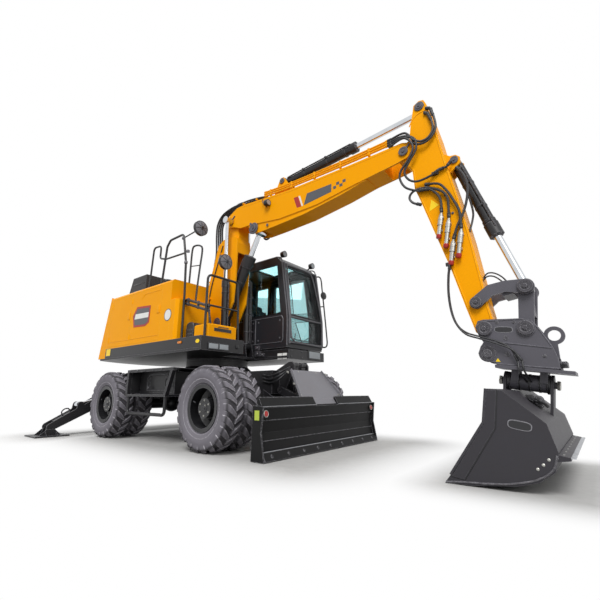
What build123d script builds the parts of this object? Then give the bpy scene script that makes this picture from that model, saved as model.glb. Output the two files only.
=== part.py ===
from build123d import *
import math
import os

# Wheeled excavator with a two-piece boom, blade, two outriggers and a tilting ditch bucket.
# Millimetres, X forward, Y left, Z up. Swing axis at X = 0, Y = 0, ground at Z = 0.

# Clearances and plate thicknesses
pin_gap = 0.3
seat_gap = 0.3
side_gap = 8.0
plate = 25.0
skin = 40.0
glass = 6.0
bore_gap = 0.5
hinge_radius = 10.0
hinge_length = 45.0

# Wheels
wheelbase = 2575.0
tyre_radius = 522.0
tread_depth = 30.0
lug_count = 22
lug_width = 74.0
lug_lean = 24.0
tyre_width = 278.0
tyre_spacing = 320.0
outer_tyre_y = 1136.0
bead_radius = 254.0
rim_flange_radius = 286.0
rim_wall = 14.0
bead_half = 97.0
hub_radius = 118.0
spindle_radius = 48.0
kingpin_y = 610.0
kingpin_radius = 38.0
knuckle_height = 210.0
steer_arm = 260.0
steer_arm_drop = 100.0
tie_rod_radius = 22.0
tie_stud_radius = 14.0
axle_z = tyre_radius
front_hub_y = 700.0
rear_hub_y = 640.0
front_x = wheelbase / 2
rear_x = -wheelbase / 2
steer_arm_z = axle_z - steer_arm_drop
inner_tyre_y = outer_tyre_y - tyre_spacing

# Chassis
frame_half_width = 320.0
waist_half_width = 500.0
waist_x = 560.0
frame_low = 690.0
frame_high = 1010.0
frame_front = 1590.0
frame_rear = -2090.0
ring_radius = 520.0
ring_low = 1125.0
deck_low = 1216.0

# Side boxes between the wheels
box_rear = -700.0
box_front = 400.0
box_top_front = 560.0
box_low = 680.0
box_top = 1050.0
box_outer_y = 1215.0
box_face_y = 1010.0
step_z = 400.0
step_tube_radius = 22.0
box_wall = 12.0
side_lid_x = (-360.0, 250.0)

# Blade: points are (x, z) on the centre plane of the linkage
blade_half_width = 1245.0
blade_clear = 6.0
blade_arm_root = (1650.0, 505.0)
blade_arm_tip = (2110.0, 335.0)
blade_link_rise = 235.0
blade_arm_y = 262.0
blade_link_y = 197.0
blade_cylinder_foot = (1800.0, 1075.0)
blade_cylinder_eye = (1905.0, 410.0)
blade_cylinder_y = 80.0
blade_guard_half = 470.0
blade_guard_top_half = 340.0

# Outriggers: points are (y, z) of the right one, mirrored for the left
outrigger_x = -2225.0
outrigger_width = 230.0
outrigger_root = (-800.0, 640.0)
outrigger_pad_pin = (-1700.0, 150.0)
outrigger_rod_eye = (-1280.0, 500.0)
outrigger_foot = (-110.0, 800.0)
pad_length = 500.0
pad_width = 500.0

# Superstructure
body_half_width = 1245.0
deck_high = 1275.0
skirt_high = 1435.0
hood_top = 2355.0
hood_front = 400.0
hood_waist = -560.0
hood_left_y = -600.0
hood_rear = -1500.0
tail_low_radius = 2150.0
tail_high_radius = 1960.0
step_block_front = 560.0
step_block_top = 2030.0
platform_front = 1180.0
door_split_x = -740.0
lid_x = (-1440.0, -830.0)
lid_y = (-1000.0, 500.0)
lid_height = 380.0
door_gap = 6.0
door_low = skirt_high + 25.0
door_high = hood_top - 60.0
grille_x = (-1370.0, -750.0)
grille_z = (1560.0, 2200.0)
grille_slats = 12

# Side doors of the hood: x range and side
door_table = [((hood_rear + 60.0, door_split_x - door_gap), -1), ((door_split_x + door_gap, 150.0), -1),
              ((hood_rear + 60.0, door_split_x + 60), 1)]

# Cab
cab_y = (285.0, 1245.0)
cab_x = (-430.0, 1330.0)
cab_low = 1410.0
cab_high = 2990.0
cab_front_top_x = 1170.0
cab_wall = 45.0
cab_base_low = 1225.0
cab_base_front = 1375.0
roof_lamp_y = (363.0, 1167.0)
door_x = (130.0, 1150.0)
door_z = (1460.0, 2870.0)

# Boom and stick: points are (x, z) in the plane of the boom
boom_y = -100.0
boom_foot = (75.0, 1635.0)
knuckle = (500.0, 3610.0)
lift_foot = (550.0, 1450.0)
lift_y = 245.0
adjust_foot = (235.0, 1850.0)
adjust_eye = (1060.0, 3330.0)
stick_cylinder_foot = (1620.0, 4020.0)
boom_nose = (3676.0, 3593.0)
stick_rod_pin = (3904.0, 4153.0)
bucket_cylinder_foot = (4228.0, 3272.0)
rocker_pin = (4295.0, 1582.0)
rod_link_pin = (4735.0, 1672.0)
stick_tip = (4344.0, 1310.0)
coupler_link_pin = (4689.0, 1280.0)
coupler_hook = (4344.0, 1068.0)
lifting_eye = (4884.0, 1212.0)
boom_lamp_point = (1378.0, 3650.0)
boom_half = 160.0
neck_half = 112.0
stick_half = 125.0
link_half = 125.0
coupler_half = 165.0

# Tilt axis of the bucket, and the bucket
tilt_point = (4650.0, 792.0)
tilt_slope = -8.0
tilt_radius = 76.0
tilt_shaft_radius = 30.0
tilt_barrel = (-185.0, 145.0)
bucket_half = 800.0
bucket_plate = 22.0


def block(x, y, z):
    size = (x[1] - x[0], y[1] - y[0], z[1] - z[0])
    middle = ((x[0] + x[1]) / 2, (y[0] + y[1]) / 2, (z[0] + z[1]) / 2)
    return Pos(*middle) * Box(*size)


def outline(points, rounding=0.0):
    face = make_face(Polyline(*points, close=True))
    if rounding:
        face = fillet(face.vertices(), rounding)
    return face


def prism_y(points, y, rounding=0.0):
    face = outline(points, rounding)
    return Pos(0, y[1], 0) * extrude(Plane.XZ * face, amount=y[1] - y[0])


def prism_x(points, x, rounding=0.0):
    face = outline(points, rounding)
    return Pos(x[0], 0, 0) * extrude(Plane.YZ * face, amount=x[1] - x[0])


def prism_z(points, z, rounding=0.0):
    face = outline(points, rounding)
    return Pos(0, 0, z[0]) * extrude(face, amount=z[1] - z[0])


def disc_y(centre, radius, y):
    return Pos(centre[0], (y[0] + y[1]) / 2, centre[1]) * Rot(90, 0, 0) * Cylinder(radius, y[1] - y[0])


def disc_x(centre, radius, x):
    return Pos((x[0] + x[1]) / 2, centre[0], centre[1]) * Rot(0, 90, 0) * Cylinder(radius, x[1] - x[0])


def disc_z(centre, radius, z):
    return Pos(centre[0], centre[1], (z[0] + z[1]) / 2) * Cylinder(radius, z[1] - z[0])


def bar(start, end, radius):
    way = Vector(*end) - Vector(*start)
    seat = Plane(origin=start, z_dir=way)
    return seat * Cylinder(radius, way.length, align=(Align.CENTER, Align.CENTER, Align.MIN))


def rail(points, bend, radius):
    path = FilletPolyline(*points, radius=bend)
    return sweep(Plane(origin=path @ 0, z_dir=path % 0) * Circle(radius), path=path)


def strap(p, q, p_radius, q_radius):
    """Flat outline of a link with a round end about each of two points."""
    dx, dz = q[0] - p[0], q[1] - p[1]
    length = math.hypot(dx, dz)
    turn = math.asin((p_radius - q_radius) / length)
    base = math.atan2(dz, dx)
    corners = []
    for centre, radius, side in ((p, p_radius, 1), (q, q_radius, 1), (q, q_radius, -1), (p, p_radius, -1)):
        angle = base + side * (math.pi / 2 - turn)
        corners.append((centre[0] + radius * math.cos(angle), centre[1] + radius * math.sin(angle)))
    face = outline(corners)
    return face + Pos(*p) * Circle(p_radius) + Pos(*q) * Circle(q_radius)


def strap_y(p, q, p_radius, q_radius, y):
    face = strap(p, q, p_radius, q_radius)
    return Pos(0, y[1], 0) * extrude(Plane.XZ * face, amount=y[1] - y[0])


def strap_x(p, q, p_radius, q_radius, x):
    face = strap(p, q, p_radius, q_radius)
    return Pos(x[0], 0, 0) * extrude(Plane.YZ * face, amount=x[1] - x[0])


def pair(shape, middle=0.0):
    """The shape and its mirror image across the plane Y = middle."""
    return shape + Pos(0, 2 * middle, 0) * mirror(shape, Plane.XZ)


def shifted(point, way, distance):
    return (point[0] + way[0] * distance, point[1] + way[1] * distance)


def left_of(shape):
    return mirror(shape, Plane.XZ)


def y_span(inner, outer, middle=0.0, side=1):
    low, high = sorted((middle + side * inner, middle + side * outer))
    return (low, high)


def along(p, q, distance):
    length = math.dist(p, q)
    return tuple(a + (b - a) * distance / length for a, b in zip(p, q))


# Hydraulic cylinders, each in a plane. The rod runs in the barrel's bore with its own gap.

def barrel(foot, eye, y, sizes, plane="xz", foot_pin=0.0):
    """Tube with a foot eye and a thicker head. y is the cylinder's middle across its plane."""
    place = place_in_xz if plane == "xz" else place_in_yz
    radius, head = sizes["barrel"], sizes["head"]
    end = sizes["barrel_end"]
    start = place(foot, y)
    way = Vector(*place(eye, y)) - Vector(*start)
    seat = Plane(origin=start, z_dir=way)
    low = (Align.CENTER, Align.CENTER, Align.MIN)
    tube = seat * Pos(0, 0, sizes["eye"] * 0.8) * Cylinder(radius, end - sizes["eye"] * 0.8, align=low)
    collar = seat * Pos(0, 0, end - sizes["head_length"]) * Cylinder(head, sizes["head_length"], align=low)
    disc = disc_y if plane == "xz" else disc_x
    half = sizes["eye_half"]
    body = tube + collar + disc(foot, sizes["eye"], (y - half, y + half))
    bore_start = sizes["eye"] + 25.0
    body -= seat * Pos(0, 0, bore_start) * Cylinder(sizes["rod"] + bore_gap, end, align=low)
    if foot_pin:
        body -= disc(foot, foot_pin + pin_gap, (y - half - 1, y + half + 1))
    return body


def rod(foot, eye, y, sizes, plane="xz"):
    place = place_in_xz if plane == "xz" else place_in_yz
    disc = disc_y if plane == "xz" else disc_x
    inner = along(foot, eye, sizes["rod_start"])
    outer = along(foot, eye, math.dist(foot, eye) - sizes["eye"] * 0.7)
    half = sizes["eye_half"]
    shaft = bar(place(inner, y), place(outer, y), sizes["rod"])
    return shaft + disc(eye, sizes["eye"], (y - half, y + half))


def place_in_xz(point, y):
    return (point[0], y, point[1])


def place_in_yz(point, x):
    return (x, point[0], point[1])


# One row per cylinder: radii of barrel, head, rod and eye, half width of the eyes,
# and distances from the foot pin to the barrel's end and to the rod's inner end
cylinder_sizes = {
    "lift": dict(barrel=57, head=66, rod=37, eye=62, eye_half=60, head_length=110,
                 barrel_end=1060, rod_start=850),
    "adjust": dict(barrel=82, head=104, rod=44, eye=80, eye_half=84, head_length=190,
                   barrel_end=1240, rod_start=780),
    "stick": dict(barrel=63, head=76, rod=40, eye=68, eye_half=65, head_length=100,
                  barrel_end=1330, rod_start=840),
    "bucket": dict(barrel=60, head=74, rod=38, eye=54, eye_half=62, head_length=150,
                   barrel_end=1030, rod_start=640),
    "blade": dict(barrel=46, head=52, rod=28, eye=44, eye_half=48, head_length=60,
                  barrel_end=405, rod_start=300),
    "outrigger": dict(barrel=54, head=60, rod=34, eye=50, eye_half=56, head_length=60,
                      barrel_end=645, rod_start=575),
}


def hinge_pair(x, y, heights):
    """Upright hinges of a door: the halves on the frame and the halves on the door."""
    fixed, moving, fixed_space, moving_space = None, None, None, None
    for z in heights:
        low = disc_z((x, y), hinge_radius, (z - hinge_length, z - seat_gap / 2))
        high = disc_z((x, y), hinge_radius, (z + seat_gap / 2, z + hinge_length))
        low_space = disc_z((x, y), hinge_radius + seat_gap, (z - hinge_length - 2, z + seat_gap / 2))
        high_space = disc_z((x, y), hinge_radius + seat_gap, (z - seat_gap / 2, z + hinge_length + 2))
        fixed = low if fixed is None else fixed + low
        moving = high if moving is None else moving + high
        fixed_space = low_space if fixed_space is None else fixed_space + low_space
        moving_space = high_space if moving_space is None else moving_space + high_space
    return dict(fixed=fixed, moving=moving, fixed_space=fixed_space, moving_space=moving_space)


def hang(frame, hinges):
    return frame - hinges["moving_space"] + hinges["fixed"]


def swing(door, hinges):
    return door - hinges["fixed_space"] + hinges["moving"]


# Undercarriage

def tyre_section():
    """Carcass between the lugs: rows of (radius, half width) from the bead to the crown."""
    half, crown = tyre_width / 2, tyre_radius - tread_depth
    rows = [(bead_radius + seat_gap, bead_half), (rim_flange_radius + 4, bead_half),
            (rim_flange_radius + 44, half - 8),
            (rim_flange_radius + 120, half), (crown - 40, half - 8), (crown, half - 34)]
    return rows + [(r, -w) for r, w in reversed(rows)]


def tread_lug(row, turn):
    """Slanted block from the middle of the tread to its shoulder. row is 1 or -1, turn in degrees."""
    half, base = tyre_width / 2, tyre_radius - tread_depth
    reach = (lug_width + half * math.tan(math.radians(lug_lean))) / 2
    top = math.sqrt(tyre_radius ** 2 - reach ** 2)
    rows = [(4, base - 12), (4, top), (half - 40, top), (half - 2, base - 34), (half - 20, base - 50)]
    straight = prism_x([(row * y, z) for y, z in rows], (-lug_width / 2, lug_width / 2))
    slanted = Rot(0, 0, -row * lug_lean) * Pos(0, -row * half / 2, 0) * straight
    return Rot(0, turn, 0) * Pos(0, row * half / 2, 0) * slanted


def tyre():
    """One tyre in the middle of its own frame: carcass with two staggered rows of lugs."""
    face = make_face(Polyline(*tyre_section(), close=True))
    carcass = revolve(face, Axis.Y, 360)
    pitch = 360 / lug_count
    rows = [(1, 0.0), (-1, pitch / 2)]
    return carcass.fuse(*[tread_lug(row, start + n * pitch) for row, start in rows for n in range(lug_count)])


def rim(side, spindle_y):
    """Two rims on one hub: outer dish with its flange, drum and round cap."""
    seat, cheek = bead_radius, bead_half + 0.5
    lo, hi = inner_tyre_y - cheek - 16, outer_tyre_y + cheek + 16
    profile = [(hub_radius, inner_tyre_y + 60), (seat - rim_wall - 14, inner_tyre_y + 60),
               (seat - rim_wall - 14, lo), (rim_flange_radius, lo), (rim_flange_radius, lo + 16),
               (seat, lo + 16), (seat, inner_tyre_y + cheek), (seat - 12, inner_tyre_y + cheek + 10),
               (seat - 12, outer_tyre_y - cheek - 10), (seat, outer_tyre_y - cheek), (seat, hi - 16),
               (rim_flange_radius, hi - 16), (rim_flange_radius, hi), (seat - rim_wall, hi - 6),
               (seat - rim_wall - 10, outer_tyre_y - 30), (hub_radius + 60, outer_tyre_y - 70),
               (hub_radius, outer_tyre_y - 70), (hub_radius, hi - 40), (0, hi - 40), (0, hi - 110),
               (spindle_radius + pin_gap, hi - 110), (spindle_radius + pin_gap, spindle_y),
               (hub_radius - 20, spindle_y), (hub_radius, spindle_y + 30)]
    face = make_face(Polyline(*profile, close=True))
    body = revolve(face, Axis.Y, 360)
    return body if side > 0 else left_of(body)


def wheel_pair(one_tyre, x, side, spindle_y):
    place = Pos(x, 0, axle_z)
    tyres = [place * Pos(0, side * y, 0) * one_tyre for y in (inner_tyre_y, outer_tyre_y)]
    return tyres, place * rim(side, spindle_y)


def spindle(side, x, start_y):
    end = outer_tyre_y + bead_half + 16 - 112
    return disc_y((x, axle_z), spindle_radius, y_span(start_y, end, 0, side))


def axle_front():
    """Steering axle: housing, differential, forked ends and the saddle under the frame."""
    tube = disc_y((front_x, axle_z), 84, (-470, 470))
    bowl = Pos(front_x, 0, axle_z) * Sphere(frame_low - axle_z - 8)
    fork = prism_y([(front_x - 90, axle_z - 160), (front_x + 90, axle_z - 160),
                    (front_x + 90, axle_z + 160), (front_x - 90, axle_z + 160)], (440, 490))
    lug = disc_z((front_x, kingpin_y), 62, (axle_z + knuckle_height / 2 + 6, axle_z + 160))
    bridge = block((front_x - 62, front_x + 62), (470, kingpin_y),
                   (axle_z + knuckle_height / 2 + 6, axle_z + 160))
    upper = lug + bridge
    lower = mirror(upper, Plane(origin=(0, 0, axle_z), z_dir=(0, 0, 1)))
    ends = fork + upper + lower
    ends -= disc_z((front_x, kingpin_y), kingpin_radius + pin_gap, (axle_z - 161, axle_z + 161))
    saddle = block((front_x - 130, front_x + 130), (-200, 200), (axle_z + 60, frame_low - seat_gap))
    return tube + bowl + ends + left_of(ends) + saddle


def knuckle_body(side):
    """Steered knuckle: kingpins, block, spindle and the steering arm behind it."""
    half = knuckle_height / 2
    core = disc_z((front_x, kingpin_y), 60, (axle_z - half, axle_z + half))
    pins = disc_z((front_x, kingpin_y), kingpin_radius, (axle_z - 150, axle_z + 150))
    boss = disc_y((front_x, axle_z), 90, (kingpin_y + 20, front_hub_y - 12))
    arm_end = (front_x - steer_arm, kingpin_y)
    arm = Pos(0, 0, steer_arm_z) * extrude(strap((front_x, kingpin_y), arm_end, 50, 36), amount=36)
    stud = disc_z(arm_end, tie_stud_radius, (steer_arm_z - side_gap - 40, steer_arm_z + 1))
    body = core + pins + boss + arm + stud
    body = body if side > 0 else left_of(body)
    return body + spindle(side, front_x, kingpin_y)


def tie_rod():
    x = front_x - steer_arm
    y = kingpin_y
    z = steer_arm_z - side_gap - 40
    body = bar((x, -y, z + 20), (x, y, z + 20), tie_rod_radius)
    for end in ((x, y), (x, -y)):
        body += disc_z(end, 34, (z, z + 40))
    for end in ((x, y), (x, -y)):
        body -= disc_z(end, tie_stud_radius + pin_gap, (z - 10, z + 50))
    return body


def axle_rear():
    tube = disc_y((rear_x, axle_z), 92, (-rear_hub_y + 14, rear_hub_y - 14))
    bowl = Pos(rear_x, 0, axle_z) * Sphere(frame_low - axle_z - 8)
    drum = disc_y((rear_x, axle_z), 130, (rear_hub_y - 90, rear_hub_y - 14))
    pad = block((rear_x - 110, rear_x + 110), (150, frame_half_width), (axle_z + 50, frame_low - seat_gap))
    ends = drum + pad
    return (tube + bowl + ends + left_of(ends)
            + spindle(1, rear_x, rear_hub_y - 20) + spindle(-1, rear_x, rear_hub_y - 20))


def drive_line():
    """Transmission under the swing ring, and the shafts to both axles."""
    gearbox = block((-150, 190), (-150, 150), (410, frame_low - seat_gap))
    front = bar((190, 0, 520), (front_x - 170, 0, 520), 36)
    rear = bar((-150, 0, 520), (rear_x + 190, 0, 520), 36)
    return gearbox + front + rear


def cut_pin(body, centre, radius, y):
    return body - disc_y(centre, radius + pin_gap, y)


def chassis_frame():
    """Box frame waisted over the axles, swing ring, blade brackets and outrigger plates."""
    half, waist = frame_half_width, waist_half_width
    plan = [(frame_rear, -half), (-waist_x - 180, -half), (-waist_x, -waist), (waist_x - 120, -waist),
            (waist_x + 60, -half), (frame_front, -half)]
    plan += [(x, -y) for x, y in reversed(plan)]
    beam = prism_z(plan, (frame_low, frame_high))
    tower = Pos(0, 0, frame_high) * Cone(ring_radius + 120, ring_radius, ring_low - frame_high,
                                         align=(Align.CENTER, Align.CENTER, Align.MIN))
    ring = disc_z((0, 0), ring_radius, (ring_low, deck_low - seat_gap))
    body = beam + tower + ring
    body += pair(blade_bracket())
    for x in (outrigger_x - outrigger_width / 2 - side_gap - plate,
              outrigger_x + outrigger_width / 2 + side_gap):
        body += outrigger_plate((x, x + plate))
    body += outrigger_pins()
    return body


def blade_bracket():
    """Front plate that carries the arm, the upper link and the cylinder foot."""
    root, foot = blade_arm_root, blade_cylinder_foot
    upper = (root[0], root[1] + blade_link_rise)
    y = (blade_link_y - 25 - side_gap - 22, blade_link_y - 25 - side_gap)
    web = prism_y([(frame_front - 120, 420), (root[0] + 20, 420), (root[0] + 70, root[1]),
                   (upper[0] + 70, upper[1] + 30), (foot[0] + 60, foot[1] - 60), (foot[0] + 60, foot[1]),
                   (foot[0] + 20, foot[1] + 55), (foot[0] - 45, foot[1] + 50),
                   (frame_front - 120, frame_high - 20)],
                  y)
    body = web + disc_y(foot, 26, (blade_cylinder_y - 56, y[1]))
    outer = y_span(blade_arm_y + 30 + side_gap, blade_arm_y + 30 + side_gap + 22)
    side = prism_y([(frame_front - 160, 420), (root[0] + 20, 420), (root[0] + 70, root[1]),
                    (root[0] + 60, root[1] + 90), (frame_front - 160, frame_low + 60)], outer)
    body += side + disc_y(root, 32, (blade_arm_y - 31, outer[1] + 6))
    body += disc_y(upper, 26, (y[1] - 10, blade_link_y + 26))
    nose = block((frame_front - 30, frame_front), (0, outer[1]), (frame_low + 150, frame_low + 210))
    return body + nose


def outrigger_plate(x):
    root, foot = outrigger_root, outrigger_foot
    right = [(0, 430), (root[0] + 60, 470), (root[0] - 60, 530), (root[0] - 95, root[1]),
             (root[0] - 40, root[1] + 90),
             (foot[0] - 190, foot[1] + 60), (foot[0] - 60, foot[1] + 110), (0, foot[1] + 110)]
    points = right + [(-y, z) for y, z in reversed(right[1:-1])]
    return prism_x(points, x)


def outrigger_pins():
    span = (outrigger_x - outrigger_width / 2 - side_gap - plate - 14,
            outrigger_x + outrigger_width / 2 + side_gap + plate + 14)
    body = None
    for side in (1, -1):
        foot_pin = disc_x((side * outrigger_foot[0], outrigger_foot[1]), 28, span)
        body = foot_pin if body is None else body + foot_pin
        for x in ((span[0], span[0] + 14 + plate + side_gap + plate),
                  (span[1] - 14 - plate - side_gap - plate, span[1])):
            body += disc_x((side * outrigger_root[0], outrigger_root[1]), 38, x)
    tie = disc_x((0, 520), 40, (span[0] + 20, span[1] - 20))
    return body + tie


def side_box():
    """Right side: closed tool box behind an open frame with a low step hoop."""
    wall = box_wall
    body = block((box_rear + 60, box_front - 90), (-box_face_y + 35, -waist_half_width - seat_gap),
                 (box_low, box_top - 40))
    body -= block((box_rear + 60 + wall, box_front - 90 - wall), (-box_face_y + 30, -waist_half_width - wall),
                  (box_low + wall, box_top - 40 - wall))
    shelf = block((box_rear, box_front), (-box_outer_y, -waist_half_width - seat_gap),
                  (box_low - 30, box_low))
    top = block((box_rear, box_top_front), (-box_outer_y, -box_outer_y + 60), (box_top - 40, box_top))
    roof = block((box_rear, box_top_front), (-box_outer_y, -waist_half_width - 140), (box_top - 12, box_top))
    rear_post = block((box_rear, box_rear + 45), (-box_outer_y, -box_outer_y + 60), (box_low, box_top))
    front_post = prism_y([(box_front - 45, box_low - 30), (box_front, box_low - 30), (box_top_front, box_top),
                          (box_top_front - 50, box_top)], (-box_outer_y, -box_outer_y + 60))
    face = block((box_rear + 60, box_front - 90), (-box_face_y, -box_face_y + 36), (box_low, box_top - 11))
    face -= lid_outline(2.0, (-box_face_y - 1, -box_face_y + 37))
    face = hang(face, side_lid_hinges())
    hoop = rail([(box_rear + 40, -box_outer_y + 40, box_low - 10), (box_rear + 40, -box_outer_y + 40, step_z),
                 (box_front - 40, -box_outer_y + 40, step_z),
                 (box_front - 40, -box_outer_y + 40, box_low - 10)],
                60, step_tube_radius)
    return body + shelf + top + roof + rear_post + front_post + face + hoop


def side_lid_hinges():
    return hinge_pair(side_lid_x[0], -box_face_y, (box_low + 90, box_top - 140))


def lid_outline(grow, y):
    x0, x1 = side_lid_x[0] - grow, side_lid_x[1] + grow
    z0, z1 = box_low + 30 - grow, box_top - 60 + grow
    return prism_y([(x0, z0), (x1, z0), (x1, z1 - 60), (x1 - 50, z1), (x0 + 50, z1), (x0, z1 - 60)], y)


def side_lid():
    handle = rail([(side_lid_x[1] - 120, -box_face_y + 2, 800), (side_lid_x[1] - 120, -box_face_y - 40, 800),
                   (side_lid_x[1] - 120, -box_face_y - 40, 900), (side_lid_x[1] - 120, -box_face_y + 2, 900)],
                   14, 7)
    return swing(lid_outline(0.0, (-box_face_y, -box_face_y + 30)), side_lid_hinges()) + handle


# Blade

def blade():
    """Bent mouldboard between end plates, top flanges, guard plate and rear brackets."""
    low = blade_clear
    front = [(2345, low), (2285, 100), (2258, 290), (2292, 545)]
    back = [(2270, 545), (2235, 292), (2262, 95), (2318, low)]
    half = blade_half_width
    board = prism_y(front + back, (-half + 20, half - 20))
    end = prism_y([(2160, low), (2350, low), (2298, 290), (2327, 560), (2172, 572)], (half - 20, half))
    body = board + pair(end)
    flange = prism_y([(2215, 590), (2290, 540), (2300, 552), (2240, 655), (2225, 650)], (250, half - 18))
    body += pair(flange)
    body += prism_y([(2215, 580), (2215, 560), (2290, 530), (2290, 545)], (-half + 18, half - 18))
    body += blade_guard()
    body += pair(blade_eyes())
    back_box = prism_y([(2180, 180), (2262, 120), (2245, 300), (2180, 330)], (-700, 700))
    return body + back_box


def blade_guard():
    """Sloping sheet over the linkage, narrower at its top."""
    low, high = blade_guard_half, blade_guard_top_half
    sheet = prism_y([(1915, 985), (1935, 1000), (2215, 625), (2262, 560), (2262, 525), (2195, 610)],
                    (-low, low))
    plan = [(1900, -high), (2205, -low), (2300, -low), (2300, low), (2205, low), (1900, high)]
    return sheet & prism_z(plan, (500, 1020))


def blade_eyes():
    """Ears behind the board for the arm and the upper link, with their pins."""
    tip = blade_arm_tip
    upper = (tip[0], tip[1] + blade_link_rise)
    ear_y = y_span(blade_arm_y + 30 + side_gap, blade_arm_y + 30 + side_gap + 20)
    ear = prism_y([(tip[0] - 45, tip[1] - 45), (2250, 200), (2250, 500), (upper[0] + 30, upper[1] + 60),
                   (upper[0] - 40, upper[1] + 45), (tip[0] - 45, tip[1] + 45)], ear_y)
    inner = y_span(blade_link_y - 25 - side_gap - 20, blade_link_y - 25 - side_gap)
    ear2 = prism_y([(tip[0] - 45, tip[1] + 60), (2250, 400), (2250, 520), (upper[0] + 30, upper[1] + 60),
                    (upper[0] - 45, upper[1] + 40)], inner)
    pins = disc_y(tip, 30, (blade_arm_y - 31, ear_y[1] + 6)) + disc_y(upper, 24,
                                                                      (inner[0], blade_link_y + 26))
    return ear + ear2 + pins


def blade_arms():
    """Two lower arms joined by a cross tube, with the cylinders' rod lugs."""
    y = (blade_arm_y - 30, blade_arm_y + 30)
    arm = strap_y(blade_arm_root, blade_arm_tip, 60, 52, y)
    arm = cut_pin(arm, blade_arm_root, 32, (y[0] - 1, y[1] + 1))
    arm = cut_pin(arm, blade_arm_tip, 30, (y[0] - 1, y[1] + 1))
    eye = blade_cylinder_eye
    middle = along(blade_arm_root, blade_arm_tip, 150)
    lug_y = (blade_cylinder_y + 48 + side_gap, blade_cylinder_y + 48 + side_gap + 20)
    lug = strap_y(eye, middle, 40, 50, lug_y)
    cross = disc_y(middle, 42, (0, blade_arm_y))
    return pair(arm + lug + cross)


def blade_links():
    """Two upper links parallel to the arms."""
    y = (blade_link_y - 25, blade_link_y + 25)
    root = (blade_arm_root[0], blade_arm_root[1] + blade_link_rise)
    tip = (blade_arm_tip[0], blade_arm_tip[1] + blade_link_rise)
    link = strap_y(root, tip, 46, 44, y)
    link = cut_pin(link, root, 26, (y[0] - 1, y[1] + 1))
    link = cut_pin(link, tip, 24, (y[0] - 1, y[1] + 1))
    return [link, left_of(link)]


def blade_barrels():
    one = barrel(blade_cylinder_foot, blade_cylinder_eye, blade_cylinder_y, cylinder_sizes["blade"],
                 foot_pin=26)
    return [one, left_of(one)]


def blade_rods():
    one = rod(blade_cylinder_foot, blade_cylinder_eye, blade_cylinder_y, cylinder_sizes["blade"])
    return [one, left_of(one)]


# Outriggers, built on the right

def outrigger_arm():
    """Tapered arm: two ears at the root, a closed box outside, rod lugs on top."""
    x0, x1 = outrigger_x - outrigger_width / 2, outrigger_x + outrigger_width / 2
    root, pad = outrigger_root, outrigger_pad_pin
    cheeks = strap_x(root, pad, 95, 62, (x0, x0 + plate)) + strap_x(root, pad, 95, 62, (x1 - plate, x1))
    way = math.atan2(pad[1] - root[1], pad[0] - root[0])
    start = along(root, pad, 650)
    lift = (math.sin(way), -math.cos(way))
    stop = along(root, pad, 930)
    inner = along(root, pad, 200)
    top = [shifted(start, lift, 38), shifted(start, lift, 62), shifted(stop, lift, 50),
           shifted(stop, lift, 26)]
    bottom = [shifted(inner, lift, -62), shifted(inner, lift, -38), shifted(stop, lift, -20),
              shifted(stop, lift, -44)]
    body = cheeks + prism_x(bottom, (x0 + 1, x1 - 1)) + prism_x(top, (x0 + 1, x1 - 1))
    lug = strap_x(outrigger_rod_eye, along(root, pad, 560), 52, 60, (x0, x0 + plate))
    body += lug + Pos(x1 - x0 - plate, 0, 0) * lug
    for x in ((x0, outrigger_x - 64), (outrigger_x + 64, x1)):
        body += disc_x(outrigger_rod_eye, 36, x)
    for x in ((x0 - 1, x0 + plate + 1), (x1 - plate - 1, x1 + 1)):
        body -= disc_x(root, 38 + pin_gap, x)
    body += disc_x(pad, 30, (x0 + 1, x1 - 1))
    return body


def outrigger_pad():
    """Ground plate with raised rim ribs and two ears round the arm's pin."""
    pad = outrigger_pad_pin
    x0, x1 = outrigger_x - pad_length / 2, outrigger_x + pad_length / 2
    sole = block((x0, x1), (pad[0] - pad_width / 2, pad[0] + pad_width / 2), (0, 22))
    half = outrigger_width / 2 - plate - side_gap
    ears = None
    for x in ((outrigger_x - half, outrigger_x - half + 22), (outrigger_x + half - 22, outrigger_x + half)):
        ear = prism_x([(pad[0] - 90, 20), (pad[0] + 90, 20), (pad[0] + 45, pad[1]),
                       (pad[0] + 30, pad[1] + 44),
                       (pad[0] - 30, pad[1] + 44), (pad[0] - 45, pad[1])], x)
        ear -= disc_x(pad, 30 + pin_gap, (x[0] - 1, x[1] + 1))
        ears = ear if ears is None else ears + ear
    return sole + ears


def outrigger_barrel():
    return barrel(outrigger_foot, outrigger_rod_eye, outrigger_x, cylinder_sizes["outrigger"], "yz",
                  foot_pin=28)


def outrigger_rod():
    return rod(outrigger_foot, outrigger_rod_eye, outrigger_x, cylinder_sizes["outrigger"], "yz")


# Superstructure

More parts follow.
